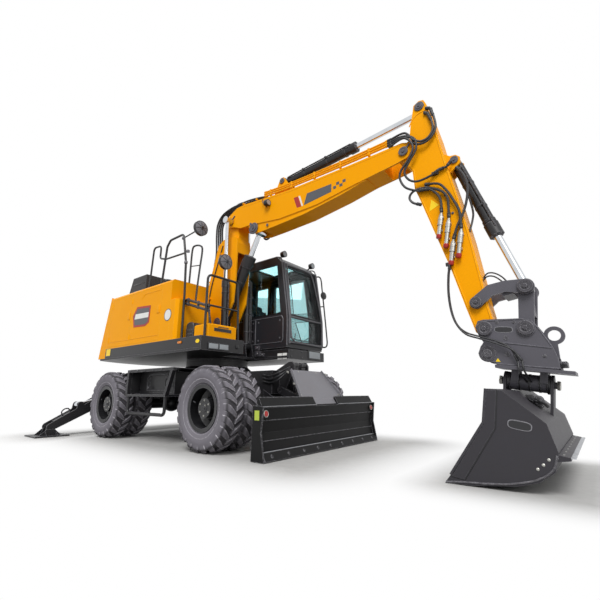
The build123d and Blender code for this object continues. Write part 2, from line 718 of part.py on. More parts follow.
def upper_frame():
    """Deck, black skirts, boom tower with its pins and the lift cylinders' feet."""
    half = body_half_width
    deck = prism_z([(hood_rear, -half + 5), (platform_front, -half + 5), (platform_front, -500), (640, -440),
                    (640, cab_y[0] - 20), (cab_base_front - 20, cab_y[0] - 20),
                    (cab_base_front - 20, half - 5),
                    (hood_rear, half - 5)], (deck_low + 30, deck_high))
    hub = disc_z((0, 0), ring_radius - 10, (deck_low, deck_low + 31))
    tail = disc_z((0, 0), tail_low_radius - 60, (deck_low + 30, deck_high))
    tail = tail & block((-3000, hood_rear), (-half + 5, half - 5), (0, 3000))
    skirt = block((hood_rear, platform_front), (-half, -half + 45), (deck_high - 1, skirt_high))
    front = block((platform_front - 40, platform_front), (-half, -500), (deck_high - 1, skirt_high))
    floor = block((hood_front, platform_front), (-half, -500), (skirt_high - 12, skirt_high))
    inner = block((hood_front, platform_front), (-520, -500), (deck_high - 1, skirt_high))
    left = block((hood_rear, cab_x[0] - 20), (half - 45, half), (deck_high - 1, skirt_high))
    body = deck + hub + tail + skirt + front + floor + inner + left
    body += cab_base()
    return body + boom_tower()


def cab_base():
    """Hollow platform under the cab."""
    x, y = (cab_x[0] - 20, cab_base_front), (cab_y[0] - 5, cab_y[1])
    outer = block(x, y, (cab_base_low, cab_low - 30))
    inner = block((x[0] + 30, x[1] - 30), (y[0] + 30, y[1] - 30), (deck_high, cab_low - 60))
    mounts = None
    for px in (cab_x[0] + 120, cab_x[1] - 180):
        for py in (cab_y[0] + 120, cab_y[1] - 120):
            mount = disc_z((px, py), 50, (cab_low - 31, cab_low - seat_gap))
            mounts = mount if mounts is None else mounts + mount
    return outer - inner + mounts


def boom_tower():
    """Two plates round the boom foot, running back along the deck, and the lift feet."""
    foot, lift = boom_foot, lift_foot
    inner = boom_half + side_gap
    cheek = prism_y([(hood_waist + 20, deck_high - 1), (440, deck_high - 1), (440, 1340), (300, 1560),
                     (foot[0] + 105, foot[1] + 40),
                     (foot[0] + 40, foot[1] + 100), (foot[0] - 60, foot[1] + 100),
                     (foot[0] - 140, foot[1] + 10),
                     (hood_waist + 20, 1440)], (inner, inner + 22))
    pin = disc_y(foot, 45, (0, inner + 30))
    size = cylinder_sizes["lift"]["eye_half"]
    ears = None
    for start in (lift_y - size - side_gap - 20, lift_y + size + side_gap):
        ear = prism_y([(lift[0] - 110, deck_high - 1), (lift[0] + 100, deck_high - 1),
                       (lift[0] + 60, lift[1] + 10),
                       (lift[0] + 30, lift[1] + 55), (lift[0] - 30, lift[1] + 55),
                       (lift[0] - 60, lift[1] + 10)],
                      (start, start + 20))
        ears = ear if ears is None else ears + ear
    lift_pin = disc_y(lift, 34, (lift_y - size - side_gap - 20, lift_y + size + side_gap + 20))
    one = cheek + pin + ears + lift_pin
    return Pos(0, boom_y, 0) * pair(one)


def counterweight():
    """Cast tail: a cone about the swing axis, cut to the body's width, with a rounded top."""
    cone = Pos(0, 0, deck_high + seat_gap) * Cone(tail_low_radius, tail_high_radius, hood_top - deck_high,
                                                  align=(Align.CENTER, Align.CENTER, Align.MIN))
    bounds = block((-3000, hood_rear - seat_gap), (-body_half_width, body_half_width), (0, 3000))
    body = cone & bounds
    upright = [e for e in body.edges().filter_by(Axis.Z, tolerance=20) if e.center().X < hood_rear - 30]
    return fillet(upright, 90) if upright else body


def hood_plan(inset):
    half = body_half_width - inset
    return [(hood_rear + inset, -half), (hood_front - inset, -half),
            (hood_front - inset, hood_left_y - inset),
            (hood_waist - inset, hood_left_y - inset), (hood_waist - inset, half), (hood_rear + inset, half)]


def hood():
    """Hollow engine cover: roof with a hatch, walls to the boom, door openings on both sides."""
    low = deck_high + seat_gap
    outer = prism_z(hood_plan(0.0), (low, hood_top))
    top_edges = [e for e in outer.edges()
                 if e.center().Z > hood_top - 1 and abs(e.center().Y) > body_half_width - 1]
    outer = chamfer(top_edges, 38)
    inner = prism_z(hood_plan(skin), (low - 1, hood_top - skin))
    body = outer - inner
    skirt_cut = block((hood_rear - 1, hood_front + 1), (-body_half_width - 1, -body_half_width + 46),
                      (0, skirt_high + seat_gap))
    left_cut = block((hood_rear - 1, cab_x[0]), (body_half_width - 46, body_half_width + 1),
                     (0, skirt_high + seat_gap))
    body -= skirt_cut + left_cut
    body -= block((lid_x[0] + 60, lid_x[1] - 60), (lid_y[0] + 60, lid_y[1] - 60),
                  (hood_top - 60, hood_top + 10))
    for x, side in door_table:
        body -= door_leaf(x, side, 3.0)
        body = hang(body, door_hinges(x, side))
    return hang(body, lid_hinges())


def door_leaf(x, side, grow):
    y = y_span(body_half_width - skin - grow, body_half_width + grow, 0, side)
    return block((x[0] - grow, x[1] + grow), y, (door_low - grow, door_high + grow))


def hood_door(x, side):
    y = y_span(body_half_width - skin, body_half_width, 0, side)
    leaf = block(x, y, (door_low, door_high))
    if side > 0:
        leaf = leaf - block(grille_x, y_span(body_half_width - 14, body_half_width + 1), grille_z) + grille()
    return swing(leaf, door_hinges(x, side))


def grille():
    """Sloping slats in the left door's recess."""
    pitch = (grille_z[1] - grille_z[0]) / grille_slats
    outer = body_half_width - 2
    slats = None
    for n in range(grille_slats):
        z = grille_z[0] + n * pitch
        rows = [(outer - 13, z + 4), (outer, z + pitch * 0.4), (outer, z + pitch * 0.6),
                (outer - 13, z + pitch * 0.5)]
        slat = prism_x(rows, grille_x)
        slats = slat if slats is None else slats + slat
    return slats


def door_hinges(x, side):
    return hinge_pair(x[0], side * body_half_width, (door_low + 120, door_high - 120))


def hood_lid():
    """Dark cover over the engine: hollow, sloped at the rear."""
    x, y = lid_x, lid_y
    low = hood_top + seat_gap
    profile = [(x[0], low), (x[1], low), (x[1], low + lid_height), (x[0] + 150, low + lid_height)]
    outer = prism_y(profile, y)
    inner = prism_y([(x[0] + 50, low - 1), (x[1] - 30, low - 1), (x[1] - 30, low + lid_height - 30),
                     (x[0] + 165, low + lid_height - 30)], (y[0] + 30, y[1] - 30))
    return swing(outer - inner, lid_hinges())


def lid_hinges():
    """Hinges along the lid's rear edge: like hinge_pair, but lying across the hood."""
    parts = dict(fixed=None, moving=None, fixed_space=None, moving_space=None)
    gap, end = seat_gap / 2, hinge_length
    rows = [("fixed", hinge_radius, -end, -gap), ("moving", hinge_radius, gap, end),
            ("fixed_space", hinge_radius + seat_gap, -end - 2, gap),
            ("moving_space", hinge_radius + seat_gap, -gap, end + 2)]
    for middle in (lid_y[0] + 250, lid_y[1] - 250):
        for name, radius, start, stop in rows:
            one = disc_y((lid_x[0], hood_top), radius, (middle + start, middle + stop))
            parts[name] = one if parts[name] is None else parts[name] + one
    return parts


def step_block():
    """Lower front block of the right side, a step up to the hood roof."""
    low = skirt_high + seat_gap
    front = block((hood_front + seat_gap, step_block_front), (-body_half_width, -640), (low, step_block_top))
    return chamfer([e for e in front.edges().filter_by(Axis.Z) if e.center().X > step_block_front - 1], 40)


def toolbox():
    """Yellow box on the front right platform with the dark case beside it."""
    low = skirt_high + seat_gap
    body = block((platform_front - 330, platform_front - 15), (-1120, -640), (low, low + 180))
    return chamfer(body.edges().group_by(Axis.Z)[-1], 15)


def engine():
    body = block((-1380, -640), (-420, 420), (deck_high + seat_gap, 2050))
    radiator = block((-1400, -800), (560, 1120), (deck_high + seat_gap, 2150))
    return [body, radiator]


# Cab

def cab_profile(inset):
    x0, x1 = cab_x
    return [(x0 + inset, cab_low + inset), (x1 - inset, cab_low + inset), (x1 - inset, cab_low + 520),
            (cab_front_top_x + 30 - inset, cab_high - 120 - inset),
            (cab_front_top_x - 90 - inset, cab_high - inset),
            (x0 + 60 + inset, cab_high - inset), (x0 + inset, cab_high - 80 - inset)]


def cab_windows():
    """Openings: windscreen, lower screen, right pane, rear pane and roof pane, as prisms."""
    y0, y1 = cab_y
    front = block((cab_x[1] - 330, cab_x[1] + 60), (y0 + 90, y1 - 90), (cab_low + 560, cab_high - 180))
    lower = block((cab_x[1] - 100, cab_x[1] + 60), (y0 + 90, y1 - 90), (cab_low + 120, cab_low + 500))
    right = prism_y([(cab_x[0] + 120, 1980), (cab_x[1] - 130, 1980), (cab_front_top_x - 60, 2840),
                     (cab_x[0] + 120, 2840)], (y0 - 5, y0 + cab_wall + 5))
    rear = block((cab_x[0] - 5, cab_x[0] + cab_wall + 5), (y0 + 120, y1 - 120), (2080, 2820))
    left = block((cab_x[0] + 110, door_x[0] - 110), (y1 - cab_wall - 5, y1 + 5), (2000, 2820))
    roof = block((300, 900), (y0 + 160, y1 - 160), (cab_high - cab_wall - 5, cab_high + 5))
    return dict(front=front, lower=lower, right=right, rear=rear, left=left, roof=roof)


def door_shape(grow, y):
    x, z = door_x, door_z
    return prism_y([(x[0] - grow, z[0] - grow), (x[1] + grow, z[0] - grow), (x[1] + grow, 1950),
                    (x[1] - 130 + grow, z[1] + grow), (x[0] - grow, z[1] + grow)], y)


def door_window(grow, y):
    x, z = door_x, door_z
    return prism_y([(x[0] + 80 - grow, 1560 - grow), (x[1] - 80 + grow, 1560 - grow),
                    (x[1] - 80 + grow, 1950),
                    (x[1] - 200 + grow, z[1] - 80 + grow), (x[0] + 80 - grow, z[1] - 80 + grow)], y)


def cab():
    """Hollow cab shell with cut windows and door opening."""
    y0, y1 = cab_y
    outer = prism_y(cab_profile(0.0), (y0, y1))
    inner = prism_y(cab_profile(cab_wall), (y0 + cab_wall, y1 - cab_wall))
    body = outer - inner
    for window in cab_windows().values():
        body -= window
    body = hang(body - door_shape(5.0, (y1 - cab_wall - 5, y1 + 5)), cab_door_hinges())
    for y in roof_lamp_y:
        body += roof_lamp(y)
    return body


def roof_lamp(y):
    """Round lamp on a bent stalk at the front edge of the roof."""
    stalk = bar((1080, y, cab_high - 10), (1165, y, cab_high + 40), 11)
    return stalk + disc_x((y, cab_high + 45), 52, (1145, 1205))


def cab_door_hinges():
    return hinge_pair(door_x[0], cab_y[1], (door_z[0] + 160, 1900, door_z[1] - 180))


def cab_glass():
    """Panes that fill the window openings, each in the middle of its wall."""
    y0, y1 = cab_y
    shell = prism_y(cab_profile(cab_wall / 2 - glass / 2),
                    (y0 + cab_wall / 2 - glass / 2, y1 - cab_wall / 2 + glass / 2))
    core = prism_y(cab_profile(cab_wall / 2 + glass / 2),
                   (y0 + cab_wall / 2 + glass / 2, y1 - cab_wall / 2 - glass / 2))
    skin_shell = shell - core
    panes = []
    for window in cab_windows().values():
        pane = skin_shell & window
        panes += [s for s in pane.solids()]
    return panes


def cab_door():
    y = (cab_y[1] - cab_wall, cab_y[1])
    return swing(door_shape(0.0, y) - door_window(0.0, (y[0] - 1, y[1] + 1)), cab_door_hinges())


def door_glass():
    middle = cab_y[1] - cab_wall / 2
    return door_window(-seat_gap, (middle - glass / 2, middle + glass / 2))


def seat():
    """Operator's seat: base, cushion, back and head rest in one."""
    y = (cab_y[0] + cab_y[1]) / 2
    base = block((60, 420), (y - 180, y + 180), (cab_low + cab_wall + seat_gap, 1700))
    cushion = block((20, 520), (y - 250, y + 250), (1700, 1820))
    back = prism_y([(-20, 1760), (110, 1760), (40, 2360), (-80, 2360)], (y - 240, y + 240))
    head = prism_y([(-75, 2360), (15, 2360), (-5, 2560), (-85, 2560)], (y - 130, y + 130))
    return base + cushion + back + head


def controls():
    """Arm consoles and steering column."""
    y = (cab_y[0] + cab_y[1]) / 2
    low = cab_low + cab_wall + seat_gap
    parts = []
    for side in (-1, 1):
        column = block((150, 480), y_span(270, 350, y, side), (1700, 1960))
        stick = bar((430, y + side * 310, 1950), (450, y + side * 310, 2120), 14)
        leg = block((200, 360), y_span(270, 330, y, side), (low, 1701))
        parts.append(column + stick + leg)
    column = disc_z((856, y), 80, (low, low + 20)) + bar((860, y, low + 12), (756, y, 2030), 40)
    seat_plane = Plane(origin=(755, y, 2030), z_dir=(-0.45, 0, 0.9))
    wheel = seat_plane * Torus(185, 15)
    spokes = seat_plane * Box(360, 30, 14)
    parts.append(column + wheel + spokes)
    return parts


def cab_guard():
    """Front guard: a tubular frame hung in front of the windscreen, with cross bars."""
    y0, y1 = cab_y[0] + 30, cab_y[1] - 30
    gap = 32.0
    line = [(cab_x[1] + gap, cab_low + 60), (cab_x[1] + gap, cab_low + 520),
            (cab_front_top_x + 30 + gap, cab_high - 120)]
    body = None
    for y in (y0, y1):
        post = rail([(x, y, z) for x, z in line], 60, 18)
        body = post if body is None else body + post
    for x, z in [(line[0][0], line[0][1] + 20), (line[1][0], line[1][1] - 20),
                 (line[2][0] + 6, line[2][1] - 20)]:
        body += bar((x, y0, z), (x, y1, z), 15)
    for x, z in ((cab_x[1], cab_low + 110), (cab_x[1], cab_low + 440)):
        for y in (y0, y1):
            body += bar((x + seat_gap, y, z), (x + gap, y, z), 14)
    return body


def handrails():
    """Rails of the right side: one row per tube with its points."""
    y = -1150.0
    rails = [
        [(600, y, skirt_high + 1), (590, y, 2100), (560, y, 2603), (448, y, 3088), (90, y, 3080),
         (10, y, 2990),
         (-60, y, hood_top + 4)],
        [(platform_front - 60, y, skirt_high + 1), (platform_front - 60, y, 2300),
         (platform_front - 60, -600, 2300), (platform_front - 60, -560, skirt_high + 1)],
        [(-26, y, 2790), (-175, y, 2830), (-175, y, 3050), (-390, y, 3070), (-430, y, hood_top + 4)],
    ]
    solid = rail(rails[0], 70, 17)
    loop = rail(rails[2], 60, 15)
    cross = bar((-40, y, 2780), (530, y, 2760), 14)
    front = rail(rails[1], 70, 17)
    middle = bar((platform_front - 60, y, 1870), (platform_front - 60, -580, 1870), 14)
    feet = disc_z((-60, y), 28, (hood_top + seat_gap, hood_top + 14))
    feet += disc_z((-430, y), 28, (hood_top + seat_gap, hood_top + 14))
    return [solid + loop + cross + feet, front + middle]


def mirrors():
    one = bar((448, -1150, 3020), (850, -1150, 3060), 10) + disc_x((-1150, 3060), 110, (850, 890))
    two = bar((platform_front - 60, -860, 2300), (platform_front - 60, -860, 2460), 10)
    two += disc_x((-860, 2560), 110, (platform_front - 80, platform_front - 40))
    return [one, two]


def exhaust():
    """Air pre-cleaner and tail pipe on the hood roof."""
    low = hood_top + seat_gap
    body = disc_z((-560, -760), 90, (low, low + 180)) + disc_z((-560, -760), 120, (low + 180, low + 260))
    pipe = disc_z((-620, -420), 50, (low, low + 330))
    return [body, pipe]


# Boom

def base_boom():
    """Lower boom: box open at the front below, foot boss, neck between the upper boom's plates."""
    foot, top = boom_foot, knuckle
    half = boom_half - 10
    side = [(foot[0] - 95, foot[1] - 20), (foot[0] - 60, foot[1] - 90), (foot[0] + 60, foot[1] - 90),
            (foot[0] + 330, foot[1] + 130), (620, 2150), (655, 2560), (665, 3200),
            (648, 3280), (585, 3325), (300, 3330), (170, 3250), (-60, 2500), (-85, 2080)]
    y = (half - plate, half)
    cheek = prism_y(side, y)
    body = pair(cheek)
    back = [(-85, 2080), (-60, 2500), (170, 3250), (300, 3330), (330, 3305), (195, 3230), (-32, 2495),
            (-58, 2080),
            (foot[0] - 70, foot[1] + 60), (foot[0] - 95, foot[1] - 20)]
    body += prism_y(back, (-half + 1, half - 1))
    front = [(662, 3020), (665, 3200), (648, 3280), (620, 3280), (637, 3200), (634, 3020)]
    body += prism_y(front, (-half + 1, half - 1))
    neck = [(250, 3100), (640, 3100), (650, 3340), (top[0] + 105, top[1]), (top[0] + 70, top[1] + 75),
            (top[0], top[1] + 100),
            (top[0] - 75, top[1] + 70), (top[0] - 110, top[1] - 20), (285, 3330)]
    body += prism_y(neck, (-neck_half, neck_half))
    body += disc_y(foot, 92, (-half, half))
    body = cut_pin(body, foot, 45, (-half - 1, half + 1))
    body = cut_pin(body, top, 50, (-half - 1, half + 1))
    body += disc_y(adjust_foot, 40, (-half, half))
    return Pos(0, boom_y, 0) * body


def upper_boom():
    """Upper boom: side plates over the knuckle, box with a keel, nose fork, cylinder ears."""
    half, inner = boom_half, boom_half - plate
    side = [(440, 3745), (400, 3640), (430, 3520), (560, 3500), (740, 3430), (970, 3420), (1630, 3330),
            (2330, 3330),
            (2950, 3410), (3250, 3440), (3560, 3470), (3720, 3500), (3780, 3580), (3750, 3690), (3660, 3725),
            (2900, 3730), (1840, 3755), (1220, 3805), (810, 3845), (620, 3835)]
    body = pair(prism_y(side, (inner, half)))
    box_side = [(760, 3440), (970, 3420), (1630, 3330), (2330, 3330), (2950, 3410), (3250, 3440),
                (3390, 3455),
                (3390, 3724), (2900, 3728), (1840, 3753), (1220, 3803), (810, 3843), (760, 3842)]
    body += prism_y(box_side, (-inner - 1, inner + 1))
    keel = [(900, 3440), (1010, 3270), (1180, 3235), (1500, 3240), (2100, 3262), (2750, 3345), (3150, 3420),
            (3100, 3460),
            (900, 3460)]
    body += prism_y(keel, (-half + 14, half - 14))
    pocket = [(700, 3100), (1290, 3100), (1240, 3430), (1080, 3445), (900, 3445), (700, 3500)]
    body -= prism_y(pocket, (-half + 40, half - 40))
    for span in ((92, half - 39), (-half + 39, -92)):
        body += disc_y(adjust_eye, 60, span)
    body += disc_y(knuckle, 50, (-half - 14, half + 14))
    body += disc_y(boom_nose, 46, (-half - 10, half + 10))
    foot = stick_cylinder_foot
    ear = prism_y([(foot[0] - 190, 3770), (foot[0] + 230, 3750), (foot[0] + 60, foot[1] + 20),
                   (foot[0] + 30, foot[1] + 60),
                   (foot[0] - 30, foot[1] + 60), (foot[0] - 60, foot[1] + 20)], (73, 95))
    body += pair(ear) + disc_y(foot, 34, (-99, 99)) + pair(boom_lamp())
    return Pos(0, boom_y, 0) * body


def boom_lamp():
    """Round work lamp on a bracket at the side of the boom."""
    x, z = boom_lamp_point
    bracket = block((x, x + 16), (boom_half - 1, boom_half + 20), (z - 50, z + 30))
    body = disc_x((boom_half + 48, z + 10), 48, (x - 20, x + 50))
    return bracket + body + block((x, x + 16), (boom_half + 19, boom_half + 30), (z - 5, z + 25))


def stick():
    """Stick: box with the nose boss, rod ears on top, bucket cylinder ears and a narrow tip."""
    half = stick_half
    nose, tip = boom_nose, stick_tip
    side = [(3905, 4235), (3835, 4200), (3780, 3950), (3745, 3740), (3640, 3700), (3570, 3620), (3580, 3520),
            (3660, 3470),
            (3755, 3300), (3765, 3060), (3805, 2940), (4080, 1990), (4190, 1540), (4255, 1290), (4310, 1235),
            (4385, 1235),
            (4430, 1300), (4420, 1400), (4395, 1560), (4365, 1840), (4310, 2300), (4230, 2800), (4150, 3230),
            (4080, 3690),
            (3985, 4160), (3960, 4220)]
    body = prism_y(side, (-half, half))
    body -= prism_y([(3880, 4300), (3780, 4300), (3790, 4020), (4030, 4020), (4100, 4300)], (-74, 74))
    b = bucket_cylinder_foot
    ears = prism_y([(4140, 3110), (b[0] + 62, b[1] - 50), (b[0] + 62, b[1] + 20), (b[0] + 20, b[1] + 62),
                    (b[0] - 40, b[1] + 70), (4090, 3420), (4100, 3110)], (70, 92))
    body += pair(ears) + disc_y(b, 32, (-98, 98))
    body = cut_pin(body, nose, 46, (-half - 1, half + 1))
    body = cut_pin(body, tip, 44, (-half - 1, half + 1))
    body = cut_pin(body, rocker_pin, 36, (-half - 1, half + 1))
    return Pos(0, boom_y, 0) * body


def lift_barrels():
    one = barrel(lift_foot, knuckle, lift_y, cylinder_sizes["lift"], foot_pin=34)
    return [Pos(0, boom_y, 0) * one, Pos(0, boom_y, 0) * left_of(one)]


def lift_rods():
    one = rod(lift_foot, knuckle, lift_y, cylinder_sizes["lift"])
    return [Pos(0, boom_y, 0) * one, Pos(0, boom_y, 0) * left_of(one)]


def rocker():
    """Two curved rocker plates with the pin through the stick and a cross plate."""
    r, p = rocker_pin, rod_link_pin
    inner = stick_half + side_gap
    crown = ((r[0] + p[0]) / 2 - 10, (r[1] + p[1]) / 2 + 75)
    upper = [(r[0] - 40, r[1] + 45), (crown[0] - 90, crown[1] + 38), (crown[0] + 60, crown[1] + 55),
             (p[0] + 10, p[1] + 72),
             (p[0] + 10, p[1] - 70), (crown[0] + 60, crown[1] - 55), (crown[0] - 60, crown[1] - 75),
             (r[0] + 45, r[1] - 42)]
    cheek = prism_y(upper, (inner, inner + 30))
    cheek += disc_y(r, 62, (inner, inner + 30)) + disc_y(p, 74, (inner, inner + 30))
    body = pair(cheek) + disc_y(r, 36, (-inner - 36, inner + 36))
    stub = disc_y(p, 42, (link_half - 32, inner + 40))
    body += pair(stub)
    web = prism_y([(r[0] + 240, r[1] + 30), (r[0] + 335, r[1] + 45), (r[0] + 335, r[1] + 65),
                   (r[0] + 240, r[1] + 75)],
                  (-inner - 1, inner + 1))
    return Pos(0, boom_y, 0) * (body + web)


def connecting_link():
    """H-shaped link from the rod pin to the coupler."""
    p, c = rod_link_pin, coupler_link_pin
    y = (link_half - 30, link_half)
    cheek = strap_y(p, c, 66, 62, y)
    cheek = cut_pin(cheek, p, 42, (y[0] - 1, y[1] + 1))
    web = block((p[0] - 75, p[0] + 30), (-link_half + 5, link_half - 5), (c[1] + 120, p[1] - 150))
    return Pos(0, boom_y, 0) * (pair(cheek) + web)


def coupler():
    """Quick coupler: side plates round the stick tip, lower hook boss, base plate, lifting hook."""
    tip, link, hook = stick_tip, coupler_link_pin, coupler_hook
    half, inner = coupler_half, stick_half + side_gap + 4
    side = [(4262, 1330), (4290, 1392), (4345, 1400), (4660, 1375), (4745, 1350), (4800, 1250), (4865, 1110),
            (4895, 1000),
            (4900, 905), (4470, 960), (4380, 990), (4290, 1010), (4262, 1075), (4290, 1140), (4320, 1180),
            (4290, 1230)]
    cheek = prism_y(side, (inner, half)) + disc_y(hook, 78, (inner, half))
    body = pair(cheek)
    body += disc_y(tip, 44, (-half - 12, half + 12)) + disc_y(hook, 44, (-half - 12, half + 12))
    body += pair(disc_y(link, 76, (half - 1, half + 14)) + disc_y(tip, 72, (half - 1, half + 14)))
    slope = math.tan(math.radians(tilt_slope))
    base = [(4400, 962), (5000, 962 + 600 * slope), (5000, 932 + 600 * slope), (4400, 932)]
    body += prism_y(base, (-half - 30, half + 30))
    body += prism_y([(4480, 950), (4900, 900), (4870, 1000), (4500, 1000)], (-inner - 1, inner + 1))
    ring = disc_y(lifting_eye, 82, (-16, 16)) - disc_y(lifting_eye, 50, (-17, 17))
    ring += prism_y([(4840, 1000), (4900, 1000), (4900, 1140), (4840, 1140)], (-16, 16))
    return Pos(0, boom_y, 0) * (body + ring)


def tilt_frame():
    """Plane on the tilt axis, with its Z axis along it."""
    turn = math.radians(tilt_slope)
    return Plane(origin=(tilt_point[0], boom_y, tilt_point[1]), x_dir=(0, 1, 0),
                 z_dir=(math.cos(turn), 0, math.sin(turn)))


def tilt_unit():
    """Rotary actuator under the coupler: barrel, two feet."""
    seat = tilt_frame()
    back, front = tilt_barrel
    low = (Align.CENTER, Align.CENTER, Align.MIN)
    body = seat * Pos(0, 0, back) * Cylinder(tilt_radius, front - back, align=low)
    body += seat * Pos(0, 0, back - 50) * Cylinder(tilt_shaft_radius, front - back + 100, align=low)
    for z in (back + 65, front - 40):
        body += seat * Pos(0, 68, z) * Box(190, 120, 60)
    return body


def bucket():
    """Ditch bucket: side plates, bent sheet from lip to top, heel blade and tilt brackets."""
    sheet_out = [(4050, 6), (4250, 8), (4560, 45), (4710, 90), (4815, 170), (4850, 300), (4805, 490),
                 (4545, 722),
                 (4430, 738)]
    t = bucket_plate
    sheet_in = [(4432, 738 - t), (4536, 722 - t), (4782, 482), (4826, 300), (4794, 182), (4700, 112),
                (4555, 68),
                (4250, 32), (4060, 22)]
    body = prism_y(sheet_out + sheet_in, (-bucket_half, bucket_half))
    side = [(4050, 6), (4250, 8), (4560, 45), (4710, 90), (4815, 170), (4850, 300), (4805, 490), (4545, 722),
            (4430, 738), (4385, 480), (4100, 70)]
    body += pair(prism_y(side, (bucket_half - t, bucket_half)))
    body += prism_y([(4820, 235), (4915, 250), (4915, 272), (4820, 290)], (-bucket_half + 6, bucket_half - 6))
    body = Pos(0, boom_y, 0) * body
    seat = tilt_frame()
    for z, depth in ((tilt_barrel[0] - side_gap - 12, 150), (tilt_barrel[1] + side_gap + 12, 270)):
        bracket = seat * Pos(0, 0, z) * (Cylinder(88, 24) + Pos(0, -depth / 2, 0) * Box(180, depth, 24))
        body += bracket - seat * Pos(0, 0, z) * Cylinder(tilt_shaft_radius + pin_gap, 30)
    return body


def build_nodes():
    nodes = {}
    nodes["chassis_frame"] = chassis_frame()
    nodes["axles"] = [axle_front(), axle_rear(), drive_line()]
    nodes["side_boxes"] = [side_box(), left_of(side_box())]
    nodes["side_lid_right"] = side_lid()
    nodes["side_lid_left"] = left_of(side_lid())
    nodes["knuckle_right"] = knuckle_body(-1)
    nodes["knuckle_left"] = knuckle_body(1)
    nodes["tie_rod"] = tie_rod()
    one_tyre = tyre()
    for name, x, side, hub in (("front_right", front_x, -1, front_hub_y),
                               ("front_left", front_x, 1, front_hub_y),
                               ("rear_right", rear_x, -1, rear_hub_y), ("rear_left", rear_x, 1, rear_hub_y)):
        nodes["tyres_" + name], nodes["rims_" + name] = wheel_pair(one_tyre, x, side, hub)
    nodes["blade"] = blade()
    nodes["blade_arms"] = blade_arms()
    nodes["blade_links"] = blade_links()
    nodes["blade_barrels"] = blade_barrels()
    nodes["blade_rods"] = blade_rods()
    for name, make in (("arm", outrigger_arm), ("pad", outrigger_pad), ("barrel", outrigger_barrel),
                       ("rod", outrigger_rod)):
        nodes["outrigger_" + name + "_right"] = make()
        nodes["outrigger_" + name + "_left"] = left_of(make())
    nodes["upper_frame"] = upper_frame()
    nodes["counterweight"] = counterweight()
    nodes["hood"] = hood()
    for name, (x, side) in zip(("hood_door_rear", "hood_door_front", "hood_door_left"), door_table):
        nodes[name] = hood_door(x, side)
    nodes["hood_lid"] = hood_lid()
    nodes["front_boxes"] = [step_block(), toolbox()]
    nodes["engine"] = engine() + exhaust()
    nodes["cab"] = cab()
    nodes["cab_glass"] = cab_glass()
    nodes["cab_door"] = cab_door()
    nodes["cab_door_glass"] = door_glass()
    nodes["cab_interior"] = [seat()] + controls()
    nodes["cab_guard"] = cab_guard()
    nodes["handrails"] = handrails() + mirrors()
    nodes["base_boom"] = base_boom()
    nodes["upper_boom"] = upper_boom()
    nodes["stick"] = stick()
    nodes["lift_barrels"] = lift_barrels()
    nodes["lift_rods"] = lift_rods()
    for name, foot, eye, pin in (("adjust", adjust_foot, adjust_eye, 40),
                                 ("stick", stick_cylinder_foot, stick_rod_pin, 34),
                                 ("bucket", bucket_cylinder_foot, rod_link_pin, 32)):
        nodes[name + "_barrel"] = barrel(foot, eye, boom_y, cylinder_sizes[name], foot_pin=pin)
        nodes[name + "_rod"] = rod(foot, eye, boom_y, cylinder_sizes[name])
    nodes["rocker"] = rocker()
    nodes["connecting_link"] = connecting_link()
    nodes["coupler"] = coupler() + tilt_unit()
    nodes["bucket"] = bucket()
    return nodes


def solids_of(shape):
    shapes = shape if isinstance(shape, list) else [shape]
    return [solid for one in shapes for solid in one.solids()]


# The row's origin is the middle of the footprint box, on the ground
nodes = {name: solids_of(shape) for name, shape in build_nodes().items()}
everything = Compound(children=[solid for solids in nodes.values() for solid in solids])
box = everything.bounding_box()
shift = (-(box.min.X + box.max.X) / 2, -(box.min.Y + box.max.Y) / 2, -box.min.Z)
print("shift", *shift)
os.makedirs("parts", exist_ok=True)
for name, solids in nodes.items():
    moved = [Pos(*shift) * solid for solid in solids]
    export_step(Compound(moved), "parts/" + name + ".step")
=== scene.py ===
from fnmatch import fnmatch
import math
import bpy
import bmesh
from mathutils import Matrix, Vector


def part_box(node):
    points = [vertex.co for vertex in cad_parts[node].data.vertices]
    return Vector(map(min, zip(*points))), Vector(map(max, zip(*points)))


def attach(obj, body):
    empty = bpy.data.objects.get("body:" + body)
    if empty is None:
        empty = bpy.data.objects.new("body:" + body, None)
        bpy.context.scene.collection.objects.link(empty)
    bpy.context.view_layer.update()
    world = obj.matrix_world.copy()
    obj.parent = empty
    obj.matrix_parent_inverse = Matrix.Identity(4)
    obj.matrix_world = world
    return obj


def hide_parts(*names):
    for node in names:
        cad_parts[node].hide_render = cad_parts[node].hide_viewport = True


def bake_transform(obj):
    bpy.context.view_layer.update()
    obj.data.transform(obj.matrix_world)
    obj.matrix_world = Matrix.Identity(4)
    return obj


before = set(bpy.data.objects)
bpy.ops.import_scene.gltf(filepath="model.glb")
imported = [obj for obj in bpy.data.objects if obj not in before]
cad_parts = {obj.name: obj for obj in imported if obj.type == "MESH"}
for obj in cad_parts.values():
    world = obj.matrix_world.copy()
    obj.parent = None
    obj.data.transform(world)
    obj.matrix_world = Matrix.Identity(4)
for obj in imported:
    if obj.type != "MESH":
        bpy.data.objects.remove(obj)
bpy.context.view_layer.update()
scene = bpy.context.scene
scene.view_settings.view_transform = "Standard"

rowShift = 1.2625  # metres from the swing axis to the row's origin
sides = (-1, 1)  # right and left of the machine


def at(x, y, z):
    return Vector((x - rowShift, y, z))


def addObject(name, data):
    thing = bpy.data.objects.new(name, data)
    scene.collection.objects.link(thing)
    return thing


def looking(way):
    return Vector(way).to_track_quat("-Z", "Y").to_euler()


